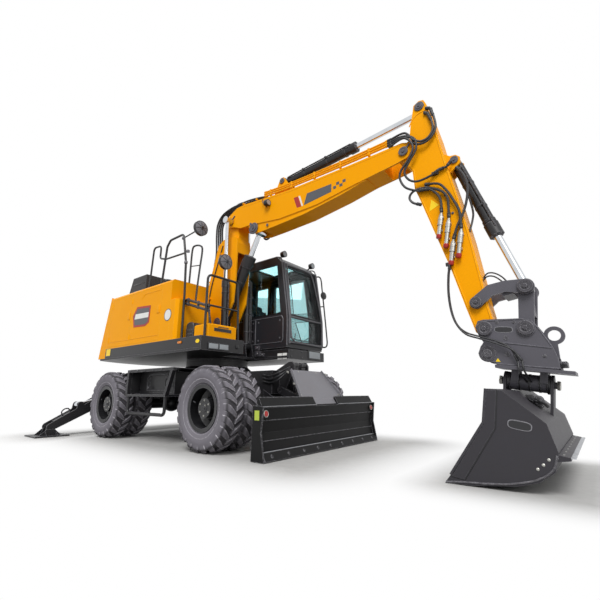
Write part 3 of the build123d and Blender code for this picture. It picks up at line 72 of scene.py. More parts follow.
# Camera, lights and floor
cameraSpec = dict(place=(5.159, -4.1636, 0.707), yaw=128.64, pitch=14.08, lens=22.13, sensor=36.0, farthest=200)
camera = addObject("camera", bpy.data.cameras.new("camera"))
camera.data.lens = cameraSpec["lens"]
camera.data.sensor_width = cameraSpec["sensor"]
camera.data.clip_end = cameraSpec["farthest"]
yaw, pitch = math.radians(cameraSpec["yaw"]), math.radians(cameraSpec["pitch"])
camera.location = at(*cameraSpec["place"])
camera.rotation_euler = looking((math.cos(yaw) * math.cos(pitch), math.sin(yaw) * math.cos(pitch), math.sin(pitch)))
scene.camera = camera

lamps = [
    # name, kind, strength or watts, place, target, angle or side
    ("keyLamp", "SUN", 2.5, (3, -6, 9), (0, 0, 1), 0.45),
    ("fillLamp", "AREA", 190, (9, -5, 5), (1, 0, 1.5), 5.0),
    ("backLamp", "AREA", 120, (-7, 6, 7), (0, 0, 1.5), 5.0),
]
for name, kind, power, place, target, size in lamps:
    lamp = addObject(name, bpy.data.lights.new(name, kind))
    lamp.data.energy = power
    setattr(lamp.data, "angle" if kind == "SUN" else "size", size)
    lamp.location = place
    lamp.rotation_euler = looking(Vector(target) - Vector(place))


def lin(code):
    # sRGB hex to linear RGBA
    parts = [int(code[i:i + 2], 16) / 255 for i in (1, 3, 5)]
    return tuple(c / 12.92 if c <= 0.04045 else ((c + 0.055) / 1.055) ** 2.4 for c in parts) + (1.0,)


def addNode(tree, kind, inputs=None, out=0, **settings):
    # an input takes a socket, a hex colour or a constant; out is the output that comes back, None gives the node
    node = tree.nodes.new("ShaderNode" + kind)
    for key, value in settings.items():
        setattr(node, key, value)
    for key, value in (inputs or {}).items():
        if isinstance(value, bpy.types.NodeSocket):
            tree.links.new(value, node.inputs[key])
        else:
            node.inputs[key].default_value = lin(value) if isinstance(value, str) else value
    return node if out is None else node.outputs[out]


def openTree(owner):
    owner.use_nodes = True
    owner.node_tree.nodes.clear()
    return owner.node_tree


def newMaterial(name):
    # the material, its tree and the object coordinates in metres
    material = bpy.data.materials.new(name)
    tree = openTree(material)
    return material, tree, addNode(tree, "TexCoord", out="Object")


def seenDirectly(tree, rays):
    # 1 for rays of the camera, through glass and off shiny faces
    clear = addNode(tree, "Math", {0: rays["Is Camera Ray"], 1: rays["Is Transmission Ray"]}, operation="MAXIMUM")
    return addNode(tree, "Math", {0: clear, 1: rays["Is Glossy Ray"]}, operation="MAXIMUM")


# white background, cool soft light on everything else
world = scene.world = bpy.data.worlds.new("studio")
sky = openTree(world)
plain = addNode(sky, "Background", {"Color": "#F4F6F8", "Strength": 0.46})
white = addNode(sky, "Background", {"Color": "#FFFFFF", "Strength": 1.0})
shown = seenDirectly(sky, addNode(sky, "LightPath", out=None).outputs)
addNode(sky, "OutputWorld", {"Surface": addNode(sky, "MixShader", {0: shown, 1: plain, 2: white})}, None)

floorSpec = dict(
    radius=60, corners=96,
    # rectangles that stay grey, partly as painted contact shadow, with how fast each one fades: under the chassis,
    # the bucket and the pads
    zones=[((-0.55, 0.0), (2.05, 1.20), 1.0), ((3.30, -0.10), (0.42, 0.80), 1.7), ((-3.45, 0.0), (0.20, 1.60), 1.0)],
    fade=1.15, paler=1.4, grainMm=1000 / 9)


def zoneDistance(tree, place, middle, half, pace):
    # distance on the floor from a rectangle, in metres
    spot = addNode(tree, "SeparateXYZ", {0: place}, None).outputs
    past = {}
    for axis in (0, 1):
        away = addNode(tree, "Math", {0: spot[axis], 1: middle[axis]}, operation="SUBTRACT")
        away = addNode(tree, "Math", {0: away}, operation="ABSOLUTE")
        away = addNode(tree, "Math", {0: away, 1: half[axis]}, operation="SUBTRACT")
        past[axis] = addNode(tree, "Math", {0: away, 1: 0.0}, operation="MAXIMUM")
    length = addNode(tree, "VectorMath", {0: addNode(tree, "CombineXYZ", past)}, "Value", operation="LENGTH")
    return addNode(tree, "Math", {0: length, 1: pace}, operation="MULTIPLY")


def studioFloor():
    # pale floor, grey close to the machine, partly grey concrete and partly painted contact shadow, that runs out
    # into the white background
    bm = bmesh.new()
    bmesh.ops.create_circle(bm, cap_ends=True, segments=floorSpec["corners"], radius=floorSpec["radius"])
    floor = addObject("studioFloor", bpy.data.meshes.new("studioFloor"))
    bm.to_mesh(floor.data)
    bm.free()
    material, tree, place = newMaterial("paleFloor")
    first, second, third = [zoneDistance(tree, place, *zone) for zone in floorSpec["zones"]]
    distance = addNode(tree, "Math", {0: first, 1: second}, operation="MINIMUM")
    distance = addNode(tree, "Math", {0: distance, 1: third}, operation="MINIMUM")
    rays = addNode(tree, "LightPath", out=None).outputs
    fade = addNode(tree, "MapRange", {0: distance, 1: 0.0, 2: floorSpec["fade"]}, interpolation_type="SMOOTHSTEP")
    further = addNode(tree, "MapRange", {0: distance, 1: 0.0, 2: floorSpec["paler"]})
    grain = addNode(tree, "TexNoise", {"Vector": place, "Scale": 1000 / floorSpec["grainMm"], "Detail": 8.0,
                                       "Roughness": 0.7}, "Fac")
    # grey ground near the machine, darkened as painted contact shadow
    groundAndShadow = addNode(tree, "Mix", {0: grain, 6: "#A2A19F", 7: "#BDBCBA"}, 2, data_type="RGBA")
    pale = addNode(tree, "Mix", {0: further, 6: groundAndShadow, 7: "#F3F3F3"}, 2, data_type="RGBA")
    # light that bounces up off the floor is greyer than the floor looks
    tone = addNode(tree, "Mix", {0: rays["Is Diffuse Ray"], 6: pale, 7: "#8B8A88"}, 2, data_type="RGBA")
    matt = addNode(tree, "BsdfPrincipled", {"Roughness": 0.7, "Base Color": tone})
    glow = addNode(tree, "Emission", {"Color": "#FFFFFF", "Strength": 1.0})
    amount = addNode(tree, "Math", {0: seenDirectly(tree, rays), 1: fade}, operation="MULTIPLY")
    addNode(tree, "OutputMaterial", {"Surface": addNode(tree, "MixShader", {0: amount, 1: matt, 2: glow})}, None)
    floor.data.materials.append(material)


studioFloor()
print("camera, light and floor ready")


# Materials
def addWearHighlight(tree, spec, specks, colour):
    # pale line where an edge turns away from its bevelled normal: partly rubbed wear, partly painted highlight on the
    # edge
    bevel = addNode(tree, "Bevel", {"Radius": spec.get("edgeMm", 9) / 1000}, samples=4)
    normal = addNode(tree, "NewGeometry", out="Normal")
    same = addNode(tree, "VectorMath", {0: bevel, 1: normal}, "Value", operation="DOT_PRODUCT")
    edge = addNode(tree, "MapRange", {0: same, 1: 0.995, 2: 0.90, 3: 0.0, 4: spec["wearHighlight"]})
    broken = addNode(tree, "MapRange", {0: specks, 1: 0.36, 2: 0.58})
    share = addNode(tree, "Math", {0: edge, 1: broken}, operation="MULTIPLY")
    return addNode(tree, "Mix", {0: share, 6: colour, 7: spec["wornHighlight"]}, 2, data_type="RGBA")


def addGrooveShade(tree, spec, place, colour):
    # painted shade: the bottoms of the tread's grooves, by their distance from the axle, are darkened where the lugs
    # shade them
    spot = addNode(tree, "SeparateXYZ", {0: place}, None).outputs
    along = addNode(tree, "Math", {0: spot[0], 1: rowShift}, operation="ADD")
    along = addNode(tree, "Math", {0: along}, operation="ABSOLUTE")
    along = addNode(tree, "Math", {0: along, 1: wheelSpec["axle"]}, operation="SUBTRACT")
    rise = addNode(tree, "Math", {0: spot[2], 1: wheelSpec["hub"]}, operation="SUBTRACT")
    across = addNode(tree, "CombineXYZ", {0: along, 2: rise})
    radius = addNode(tree, "VectorMath", {0: across}, "Value", operation="LENGTH")
    deep = addNode(tree, "MapRange", {0: radius, 1: 0.515, 2: 0.494, 3: 0.0, 4: spec["grooveShade"]})
    wall = addNode(tree, "MapRange", {0: radius, 1: 0.462, 2: 0.486})
    share = addNode(tree, "Math", {0: deep, 1: wall}, operation="MULTIPLY")
    return addNode(tree, "Mix", {0: share, 6: colour, 7: "#1B1A1C"}, 2, data_type="RGBA")


def addDust(tree, spec, place, clouds, colour, rough):
    # dust settles in clouds, on faces that look up and low down
    height = addNode(tree, "SeparateXYZ", {0: place}, 2)
    upward = addNode(tree, "SeparateXYZ", {0: addNode(tree, "TexCoord", out="Normal")}, 2)
    low = addNode(tree, "MapRange", {0: height, 1: 1.5, 2: 0.0, 3: 0.12})
    facing = addNode(tree, "MapRange", {0: upward, 1: -0.4, 2: 1.0, 3: 0.25})
    share = addNode(tree, "MapRange", {0: clouds, 1: 0.38, 2: 0.72})
    for factor in (low, facing, spec["dust"]):
        share = addNode(tree, "Math", {0: share, 1: factor}, operation="MULTIPLY")
    dusty = {0: share, 6: colour, 7: spec.get("dustColour", "#8F857A")}
    return addNode(tree, "Mix", dusty, 2, data_type="RGBA"), addNode(tree, "Mix", {0: share, 2: rough, 3: 0.85})


def coating(name, spec):
    # painted, cast or moulded surface: two close tints in clouds, with edge wear that is also a painted highlight,
    # and dust
    material, tree, place = newMaterial(name)
    scales = {key: 1000 / spec.get(key, usual) for key, usual in (("cloudMm", 420), ("speckMm", 26), ("grainMm", 9))}
    clouds = addNode(tree, "TexNoise", {"Vector": place, "Scale": scales["cloudMm"], "Detail": 5.0,
                                        "Roughness": 0.62}, "Fac")
    specks = addNode(tree, "TexNoise", {"Vector": place, "Scale": scales["speckMm"], "Detail": 6.0,
                                        "Roughness": 0.7}, "Fac")
    grain = addNode(tree, "TexNoise", {"Vector": place, "Scale": scales["grainMm"], "Detail": 3.0}, "Fac")
    colour = addNode(tree, "Mix", {0: clouds, 6: spec["colour"], 7: spec["shade"]}, 2, data_type="RGBA")
    rough = addNode(tree, "MapRange", {0: specks, 3: spec["rough"] - 0.07, 4: spec["rough"] + 0.1})
    # edges paler: rubbed wear and painted highlight
    if "wearHighlight" in spec:
        colour = addWearHighlight(tree, spec, specks, colour)
    # groove bottoms darkened as painted shade
    if "grooveShade" in spec:
        colour = addGrooveShade(tree, spec, place, colour)
    if "dust" in spec:
        colour, rough = addDust(tree, spec, place, clouds, colour, rough)
    bump = addNode(tree, "Bump", {"Strength": spec.get("bump", 0.12), "Distance": spec.get("bumpMm", 1.0) / 1000,
                                  "Height": grain})
    shader = addNode(tree, "BsdfPrincipled", {
        "Metallic": spec.get("metal", 0.0), "Coat Weight": spec.get("coat", 0.0), "Coat Roughness": 0.12,
        "Specular IOR Level": spec.get("shine", 0.5), "Base Color": colour, "Roughness": rough, "Normal": bump})
    addNode(tree, "OutputMaterial", {"Surface": shader}, None)
    return material


wheelSpec = dict(hub=0.522, axle=1.2875, tyres=dict(outer=1.136, inner=0.816), lugs=22, lean=0.098, nutFace=1.066,
                 capFace=1.2095)
# each finish with its slot name, gathered into slots
finishes = dict(
    # two-coat enamel on steel plate: deep orange yellow, soft gloss, paler along edges, partly rubbed and partly
    # painted highlight
    yellowEnamel=dict(slot="yellow_paint", colour="#FFAD00", shade="#F29C00", wornHighlight="#FFD04A", wearHighlight=0.65, rough=0.40,
                      shine=0.09, dust=0.05, dustColour="#B07A22", cloudMm=900, bump=0.05),
    # satin enamel on the lower frame: near black with a light violet cast and road dust
    charcoalEnamel=dict(slot="charcoal_paint", colour="#1E1D20", shade="#171719", wornHighlight="#8E8D93", wearHighlight=0.8,
                        rough=0.42,
                        coat=0.05, shine=0.4, dust=0.16, dustColour="#7D7A7A", bump=0.1),
    # deep black enamel of the dozer blade, edges a thin light line, partly rubbed and partly painted highlight
    bladeEnamel=dict(slot="charcoal_paint", colour="#0F0F10", shade="#151516", wornHighlight="#A6A5AA", wearHighlight=0.9, rough=0.5,
                     shine=0.16, dust=0.06, dustColour="#5F5C59", edgeMm=7, bump=0.1),
    # satin dark grey enamel of the cab shell and door, edges lighter, partly rubbed and partly painted highlight
    cabEnamel=dict(slot="black_paint", colour="#2A2A2E", shade="#202024", wornHighlight="#A9A9AE", wearHighlight=0.8, rough=0.36,
                   coat=0.1,
                   shine=0.3, dust=0.06, dustColour="#77777C", bump=0.06),
    # satin grey enamel on the guard tubes before the windscreen
    tubeEnamel=dict(slot="black_paint", colour="#56565B", shade="#48484D", wornHighlight="#A9A9AE", wearHighlight=0.5, rough=0.4,
                    coat=0.1,
                    dust=0.05, dustColour="#7A7A7E", bump=0.06),
    # satin black enamel on cab posts and rims: smoother and glossier than the frame
    blackEnamel=dict(slot="black_paint", colour="#101012", shade="#171719", wornHighlight="#7A7A80", wearHighlight=0.65, rough=0.32,
                     coat=0.15, shine=0.4, dust=0.09, dustColour="#6E6E73", bump=0.06),
    # matt painted casting of coupler and links: grey violet, lighter along fold lines, partly rubbed and partly
    # painted highlight
    anthraciteCasting=dict(slot="anthracite_cast", colour="#5A5860", shade="#444349", wornHighlight="#A09FA5", wearHighlight=0.5,
                           rough=0.46,
                           shine=0.45, dust=0.14, dustColour="#7B746C", edgeMm=6, bump=0.2, bumpMm=1.6, grainMm=14),
    # painted plate of the bucket, darker, its edges lighter from soil rubbing and painted highlight
    bucketPlate=dict(slot="anthracite_cast", colour="#38363B", shade="#29282C", wornHighlight="#8F8E93", wearHighlight=0.35, rough=0.5,
                     shine=0.3, dust=0.10, dustColour="#6B665F", edgeMm=6, cloudMm=260, bump=0.25, bumpMm=1.8,
                     grainMm=16),
    # moulded textured cover plastic on the engine lid
    texturedCover=dict(colour="#303033", shade="#28282A", wornHighlight="#6A6A6E", wearHighlight=0.3, rough=0.6, dust=0.3, bump=0.25,
                       grainMm=12),
    # tyre rubber: warm dark grey, matt, dust between the lugs; lug edges lighter by wear and painted highlight,
    # groove bottoms painted dark as shade
    tyreRubber=dict(slot="tyre_rubber", colour="#7C7980", shade="#625F66", wornHighlight="#D8D5DA", wearHighlight=0.95, rough=0.7,
                    shine=0.3,
                    dust=0.35, grooveShade=0.80, dustColour="#8E898E", edgeMm=11, cloudMm=190, speckMm=18, bump=0.35,
                    bumpMm=2.0,
                    grainMm=11),
    # hydraulic hose: extruded rubber cover, slight sheen
    hoseRubber=dict(slot="black_paint", colour="#18181A", shade="#222225", rough=0.46, cloudMm=90, bump=0.15,
                    grainMm=6),
    # rough iron of the engine block
    castIron=dict(colour="#55565A", shade="#47484C", wornHighlight="#8A8A8C", wearHighlight=0.3, rough=0.62, metal=0.3, dust=0.3,
                  bump=0.4, grainMm=16),
    # zinc plated fittings and bolts: pale warm grey metal
    zincPlate=dict(slot="chrome_rod", colour="#B9B8B2", shade="#A2A19C", rough=0.34, metal=0.9, cloudMm=60, bump=0.1,
                   grainMm=5),
    # bare steel of cutting edges, ground bright by soil
    wornSteel=dict(slot="anthracite_cast", colour="#C4C6CA", shade="#8F9195", rough=0.33, metal=0.85, cloudMm=120,
                   speckMm=14,
                   bump=0.25, grainMm=7),
    # phosphated steel of pin heads: dark grey, rims lighter, partly rubbed and partly a painted highlight ring
    pinSteel=dict(slot="anthracite_cast", colour="#48464C", shade="#38363B", wornHighlight="#B9B8BC", wearHighlight=0.8, rough=0.45,
                  metal=0.2,
                  dust=0.1, dustColour="#77736F", edgeMm=5, bump=0.15, grainMm=8),
    # cabMiddle grey painted plate of the blade guard, mirror shells and sign rims
    greyPlate=dict(slot="grey_cover", colour="#7A797E", shade="#69686E", wornHighlight="#A5A4A8", wearHighlight=0.7, rough=0.5,
                   dust=0.2,
                   bump=0.15, grainMm=14),
    # red plastic caps and film
    redCap=dict(slot="grey_cover", colour="#B3261E", shade="#9C1F1A", rough=0.4, cloudMm=60, bump=0.05),
    # white film on signs, blank
    whiteFilm=dict(slot="grey_cover", colour="#EDEDEA", shade="#E2E2DE", rough=0.38, cloudMm=80, bump=0.03),
    # grey film of badge, band and borders
    greyFilm=dict(slot="grey_cover", colour="#55565B", shade="#4B4C51", rough=0.36, cloudMm=80, bump=0.03),
    # yellow sign film, paler than the enamel
    yellowFilm=dict(slot="yellow_paint", colour="#FFD916", shade="#F8CF10", rough=0.36, cloudMm=70, bump=0.03),
    # lime film of the small plate on the blade's end
    limeFilm=dict(slot="yellow_paint", colour="#B9C94A", shade="#A9BA3F", rough=0.42, cloudMm=70, bump=0.03),
    # soft black vinyl of consoles and floor mat: fine grain
    blackVinyl=dict(slot="seat_fabric", colour="#1F1F22", shade="#19191B", rough=0.62, cloudMm=120, bump=0.4,
                    grainMm=5),
    # drawn wire of the front guard
    blackWire=dict(slot="black_paint", colour="#1E1E21", shade="#29292C", rough=0.42, metal=0.2, cloudMm=40,
                   bump=0.05),
)
made = {name: coating(name, spec) for name, spec in finishes.items()}
slots = {name: spec.get("slot") for name, spec in finishes.items()}


def clearSheet(name, spec):
    # glass or clear plastic: a tinted sheet with a little haze in it
    material, tree, place = newMaterial(name)
    haze = addNode(tree, "TexNoise", {"Vector": place, "Scale": 1000 / spec["hazeMm"], "Detail": 5.0}, "Fac")
    tint = addNode(tree, "Mix", {0: haze, 6: spec["colour"], 7: spec["shade"]}, 2, data_type="RGBA")
    inputs = {"Roughness": spec["rough"], "IOR": spec["ior"], "Transmission Weight": spec.get("through", 0.0),
              "Base Color": tint}
    if "body" in spec:
        inputs["Alpha"] = addNode(tree, "MapRange", {0: haze, 3: spec["body"] - 0.08, 4: spec["body"] + 0.1})
    addNode(tree, "OutputMaterial", {"Surface": addNode(tree, "BsdfPrincipled", inputs)}, None)
    return material


sheets = dict(
    # toughened glass with a teal tint: the seat shows through it
    tealGlass=dict(slot="tinted_glass", colour="#CFEBEC", shade="#C2E4E6", through=1.0, rough=0.03, ior=1.45,
                   hazeMm=300),
    # moulded polycarbonate lenses: milky white, red and amber
    clearLens=dict(slot="tinted_glass", colour="#B4BABE", shade="#9AA1A6", body=0.8, rough=0.08, ior=1.58, hazeMm=60),
    redLens=dict(slot="grey_cover", colour="#C31F1A", shade="#A81612", body=0.92, rough=0.12, ior=1.58, hazeMm=40),
    amberLens=dict(slot="grey_cover", colour="#F08A12", shade="#DE7B0C", body=0.92, rough=0.12, ior=1.58, hazeMm=40),
)
for name, spec in sheets.items():
    made[name], slots[name] = clearSheet(name, spec), spec["slot"]


def brightMetal(name, spec):
    # mirror bright metal with a faint film in bands that dulls it
    material, tree, place = newMaterial(name)
    film = addNode(tree, "TexNoise", {"Vector": place, "Scale": 1000 / spec["filmMm"], "Detail": spec["detail"]},
                   "Fac")
    tint = addNode(tree, "Mix", {0: film, 6: spec["colour"], 7: spec["shade"]}, 2, data_type="RGBA")
    rough = addNode(tree, "MapRange", {0: film, 3: spec["rough"][0], 4: spec["rough"][1]})
    shader = addNode(tree, "BsdfPrincipled", {"Metallic": 1.0, "Roughness": rough, "Base Color": tint})
    addNode(tree, "OutputMaterial", {"Surface": shader}, None)
    return material


brights = dict(
    # hard chrome on ground steel, with a film of oil
    chromeRod=dict(slot="chrome_rod", colour="#DADDE0", shade="#BFC3C8", rough=(0.08, 0.22), filmMm=1000 / 14,
                   detail=4.0),
    # silvered glass, faintly smeared
    mirrorGlass=dict(slot="chrome_rod", colour="#D6DADD", shade="#D6DADD", rough=(0.03, 0.12), filmMm=1000 / 22,
                     detail=3.0),
)
for name, spec in brights.items():
    made[name], slots[name] = brightMetal(name, spec), spec["slot"]

# woven wool mix, threads drawn coarse at 8 mm so that the weave shows, soft sheen
clothSpec = dict(threadMm=8, colour="#26262A", shade="#45454B", rough=0.85, sheen=0.3, bumpMm=1.0)


def seatCloth(spec):
    material, tree, place = newMaterial("seatCloth")
    inputs = {"Vector": place, "Scale": 1000 / spec["threadMm"] / 6.3, "Distortion": 0.4}
    warp, weft = [addNode(tree, "TexWave", inputs, "Fac", bands_direction=way) for way in "YZ"]
    weave = addNode(tree, "Math", {0: warp, 1: weft}, operation="MULTIPLY")
    tint = addNode(tree, "Mix", {0: weave, 6: spec["colour"], 7: spec["shade"]}, 2, data_type="RGBA")
    bump = addNode(tree, "Bump", {"Strength": 0.5, "Distance": spec["bumpMm"] / 1000, "Height": weave})
    shader = addNode(tree, "BsdfPrincipled", {
        "Roughness": spec["rough"], "Sheen Weight": spec["sheen"], "Normal": bump, "Base Color": tint})
    addNode(tree, "OutputMaterial", {"Surface": shader}, None)
    return material


made["seatCloth"], slots["seatCloth"] = seatCloth(clothSpec), "seat_fabric"

# finish of the CAD nodes: the first pattern that a node's name fits
nodeFinishes = [
    ("tyres*", "tyreRubber"), ("cab", "cabEnamel"), ("cab_door", "cabEnamel"), ("cab_guard", "tubeEnamel"),
    ("rims*", "blackEnamel"), ("handrails", "blackEnamel"), ("axles", "blackEnamel"), ("tie_rod", "blackEnamel"),
    ("blade", "bladeEnamel"), ("*_rod*", "chromeRod"), ("*_boom", "yellowEnamel"), ("stick", "yellowEnamel"),
    ("front_boxes", "yellowEnamel"), ("hood", "yellowEnamel"), ("hood_door*", "yellowEnamel"),
    ("counterweight", "yellowEnamel"), ("coupler", "anthraciteCasting"), ("rocker", "anthraciteCasting"),
    ("connecting_link", "anthraciteCasting"), ("bucket", "bucketPlate"), ("hood_lid", "texturedCover"),
    ("*glass", "tealGlass"), ("engine", "castIron"), ("*", "charcoalEnamel"),
]
for node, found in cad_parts.items():
    part = bpy.data.objects[found] if isinstance(found, str) else found
    look = made[next(finish for pattern, finish in nodeFinishes if fnmatch(node, pattern))]
    for holder in part.material_slots:
        holder.material = look
    if not part.material_slots:
        part.data.materials.append(look)
print("materials ready", len(made))


# Making of meshes. Shapes are drawn into one draft in machine metres, X from the swing axis; keepPiece()
# takes the draft up as a piece.
draft = dict(bm=bmesh.new())


def takeDraft(name, finish, sharp=None):
    bm, draft["bm"] = draft["bm"], bmesh.new()
    mesh = bpy.data.meshes.new(name)
    bmesh.ops.recalc_face_normals(bm, faces=bm.faces)
    bmesh.ops.translate(bm, vec=(-rowShift, 0, 0), verts=bm.verts)
    bm.to_mesh(mesh)
    bm.free()
    for face in mesh.polygons:
        face.use_smooth = True
    if sharp:
        mesh.set_sharp_from_angle(angle=math.radians(sharp))
    mesh.materials.append(made[finish])
    return addObject(name, mesh)


def keepPiece(name, body, finish, sharp=32, node=None):
    piece = takeDraft(name, finish, sharp)
    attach(piece, body)
    if node:
        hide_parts(node)
    return piece


def bendingHose(name, rows, radius):
    # hoses across a joint, drawn in place and attached to no body
    for points in rows:
        addHose(points, radius, 10)
    piece = takeDraft(name, "hoseRubber")
    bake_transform(piece)


def spin(axis, degrees):
    return Matrix.Rotation(math.radians(degrees), 3, axis)


def aim(axis):
    # matrix that turns +Z to the axis
    return Vector(axis).normalized().to_track_quat("Z", "Y").to_matrix()


def around(count, radius=1.0, start=0.0):
    # even points of a circle
    angles = [start + 2 * math.pi * n / count for n in range(count)]
    return [(radius * math.cos(a), radius * math.sin(a)) for a in angles]


def inPlane(y, *points):
    return [(x, y, z) for x, z in points]


def addCuboid(middle, size, round=0.004, turn=None, steps=2):
    # rounded block; turn is a 3x3 matrix about its middle
    bm = draft["bm"]
    block = bmesh.ops.create_cube(bm, size=1.0)["verts"]
    for v in block:
        v.co = Vector((v.co.x * size[0], v.co.y * size[1], v.co.z * size[2]))
    edges = {e for v in block for e in v.link_edges}
    whole = bmesh.ops.bevel(bm, geom=list(edges), offset=min(round, min(size) * 0.45), segments=steps, affect="EDGES",
                            profile=0.6)["verts"]
    for v in set(whole) | {v for v in block if v.is_valid}:
        v.co = (turn @ v.co if turn else v.co) + Vector(middle)


def addPlate(corners, thick, round=0.002):
    # flat plate with broken edges; corners are points in space, thick is a vector
    bm = draft["bm"]
    base = [bm.verts.new(Vector(c)) for c in corners]
    top = [bm.verts.new(Vector(c) + Vector(thick)) for c in corners]
    faces = [bm.faces.new(base), bm.faces.new(list(reversed(top)))]
    for i in range(len(base)):
        j = (i + 1) % len(base)
        faces.append(bm.faces.new((base[i], top[i], top[j], base[j])))
    bmesh.ops.recalc_face_normals(bm, faces=faces)
    if round:
        bmesh.ops.bevel(bm, geom=[*faces[1].edges, *faces[0].edges], offset=round, segments=1, affect="EDGES")


def addOval(middle, long, high, lean, way, thick):
    # plate with an outline between an ellipse and a rectangle; lean is its length's direction in X and Z
    points = []
    for c, s in around(28):
        c, s = math.copysign(abs(c) ** 0.6, c) * long, math.copysign(abs(s) ** 0.6, s) * high
        points.append(Vector(middle) + Vector((lean[0] * c - lean[1] * s, 0, lean[1] * c + lean[0] * s)))
    addPlate(points, (0, way * thick, 0), 0.0008)


def addTurned(base, axis, profile, steps=24):
    # turned shape: profile rows are (radius, height) along the axis from base
    bm, turn, base = draft["bm"], aim(axis), Vector(base)
    rings = [[bm.verts.new(base + turn @ Vector((*spot, height))) for spot in (around(steps,
                                                                                      radius) if radius else [(0,
                                                                                                               0)])]
             for radius, height in profile]
    for low, high in zip(rings, rings[1:]):
        for i in range(steps):
            j = (i + 1) % steps
            corners = [low[i % len(low)], low[j % len(low)], high[j % len(high)], high[i % len(high)]]
            corners = [v for k, v in enumerate(corners) if v not in corners[:k]]
            if len(corners) > 2:
                bm.faces.new(corners)


def addBolt(place, axis, size=0.012, tall=0.01):
    # hexagon head on a washer
    addTurned(place, axis, [(0, 0), (size * 1.5, 0), (size * 1.5, 0.003), (size * 1.1, 0.0035)], 16)
    addTurned(place, axis, [(size, 0.003), (size, tall), (size * 0.86, tall + 0.002), (0, tall + 0.002)], 6)


def addPinHead(place, axis, radius, tall=0.014):
    # keeper disc of a pin: chamfered rim, dished face, hexagon in the middle
    rim = [(1, 0), (1, 0.7), (0.92, 1), (0.62, 1), (0.56, 0.75), (0.34, 0.75)]
    hexagon = [(0.34, 0.4), (0.34, 1.35), (0.3, 1.5), (0, 1.5)]
    for rows, steps in ((rim, 28), (hexagon, 6)):
        addTurned(place, axis, [(radius * r, tall * h) for r, h in rows], steps)


def addTube(points, radius, steps=8, closed=False):
    # round bar through the points with mitred corners
    bm = draft["bm"]
    points = [Vector(p) for p in points]
    rings = []
    side = None
    for i, p in enumerate(points):
        before = points[i - 1] if i or closed else p
        after = points[(i + 1) % len(points)] if i + 1 < len(points) or closed else p
        way = ((p - before).normalized() + (after - p).normalized()).normalized()
        side = side or way.orthogonal().normalized()
        side = (side - way * side.dot(way)).normalized()
        other = way.cross(side)
        rings.append([bm.verts.new(p + (side * c + other * s) * radius) for c, s in around(steps)])
    for low, high in zip(rings, rings[1:] + rings[:1] if closed else rings[1:]):
        for k in range(steps):
            j = (k + 1) % steps
            bm.faces.new((low[k], low[j], high[j], high[k]))
    if not closed:
        bm.faces.new(rings[0])
        bm.faces.new(list(reversed(rings[-1])))


def softCurve(points, divisions=10):
    # smooth run through the points, for bars and hoses
    points = [Vector(p) for p in points]
    full = [points[0] * 2 - points[1]] + points + [points[-1] * 2 - points[-2]]
    run = []
    for a, b, c, d in zip(full, full[1:], full[2:], full[3:]):
        for t in (k / divisions for k in range(divisions)):
            run.append(0.5 * (2 * b + (c - a) * t + (2 * a - 5 * b + 4 * c - d) * t * t
                              + (3 * b - a - 3 * c + d) * t ** 3))
    return run + [points[-1]]


def addHose(points, radius, divisions=7):
    # hose with crimped ferrules at both ends
    run = softCurve(points, divisions)
    addTube(run, radius, 10)
    ferrule = [(0, 0), (1.05, 0), (1.45, 0.006), (1.45, 0.03), (1.3, 0.036), (1.45, 0.042), (1.45, 0.058),
               (0.9, 0.064)]
    for end, inner in ((run[0], run[1]), (run[-1], run[-2])):
        way = (inner - end).normalized()
        addTurned(end - way * 0.004, way, [(radius * r, h) for r, h in ferrule], 12)


# Wheels
# half of a tyre's wall: distance from its middle plane, radius
tyreWall = [(0.097, 0.2545), (0.1, 0.286), (0.108, 0.3), (0.118, 0.308), (0.126, 0.33), (0.133, 0.352),
            (0.131, 0.357), (0.137, 0.38),
            (0.139, 0.404), (0.136, 0.436), (0.129, 0.462), (0.119, 0.482), (0.104, 0.492), (0.06, 0.496)]
# stations along a lug: distance from the middle plane, radius of top and foot, how far round it leans, half width
lugStations = [(0.004, 0.52, 0.488, 0, 0.024), (0.035, 0.522, 0.488, 0.28, 0.03), (0.075, 0.522, 0.486, 0.62, 0.036),
               (0.095, 0.519, 0.482, 0.8, 0.039), (0.116, 0.507, 0.474, 0.94, 0.04),
               (0.131, 0.488, 0.452, 1.02, 0.038),
               (0.1395, 0.452, 0.428, 1.08, 0.033)]
nutProfile = [(0.021, 0), (0.021, 0.004), (0.016, 0.005), (0.016, 0.024), (0.013, 0.027), (0.009, 0.027),
              (0.009, 0.04), (0, 0.04)]
capProfile = [(0.052, 0), (0.052, 0.004), (0.046, 0.008), (0.022, 0.008), (0.02, 0.016), (0, 0.016)]


def addTyre(x, y):
    # carcass with a rounded wall, and two rows of slanted lugs that run down over the shoulders
    bm, hub = draft["bm"], wheelSpec["hub"]
    ring = tyreWall + [(0, 0.497)] + [(-w, r) for w, r in reversed(tyreWall)]
    addTurned((x, y, hub), (0, 1, 0), [(r, w) for w, r in ring], 72)
    pitch = 2 * math.pi / wheelSpec["lugs"]
    for row, shift in ((1, 0), (-1, pitch / 2)):
        for n in range(wheelSpec["lugs"]):
            bars = []
            for w, high, low, along, half in lugStations:
                middle = n * pitch + shift + along * wheelSpec["lean"] / hub
                section = [(low, half * 1.25), (high - 0.004, half * 1.04), (high, half * 0.84)]
                section += [(r, -wide) for r, wide in reversed(section)]
                bars.append([bm.verts.new((x + r * math.cos(middle + wide / hub), y + row * w,
                                           hub + r * math.sin(middle + wide / hub)))
                             for r, wide in section])
            for one, two in zip(bars, bars[1:]):
                for k in range(5):
                    bm.faces.new((one[k], one[k + 1], two[k + 1], two[k]))
            bm.faces.new(bars[0])
            bm.faces.new(list(reversed(bars[-1])))


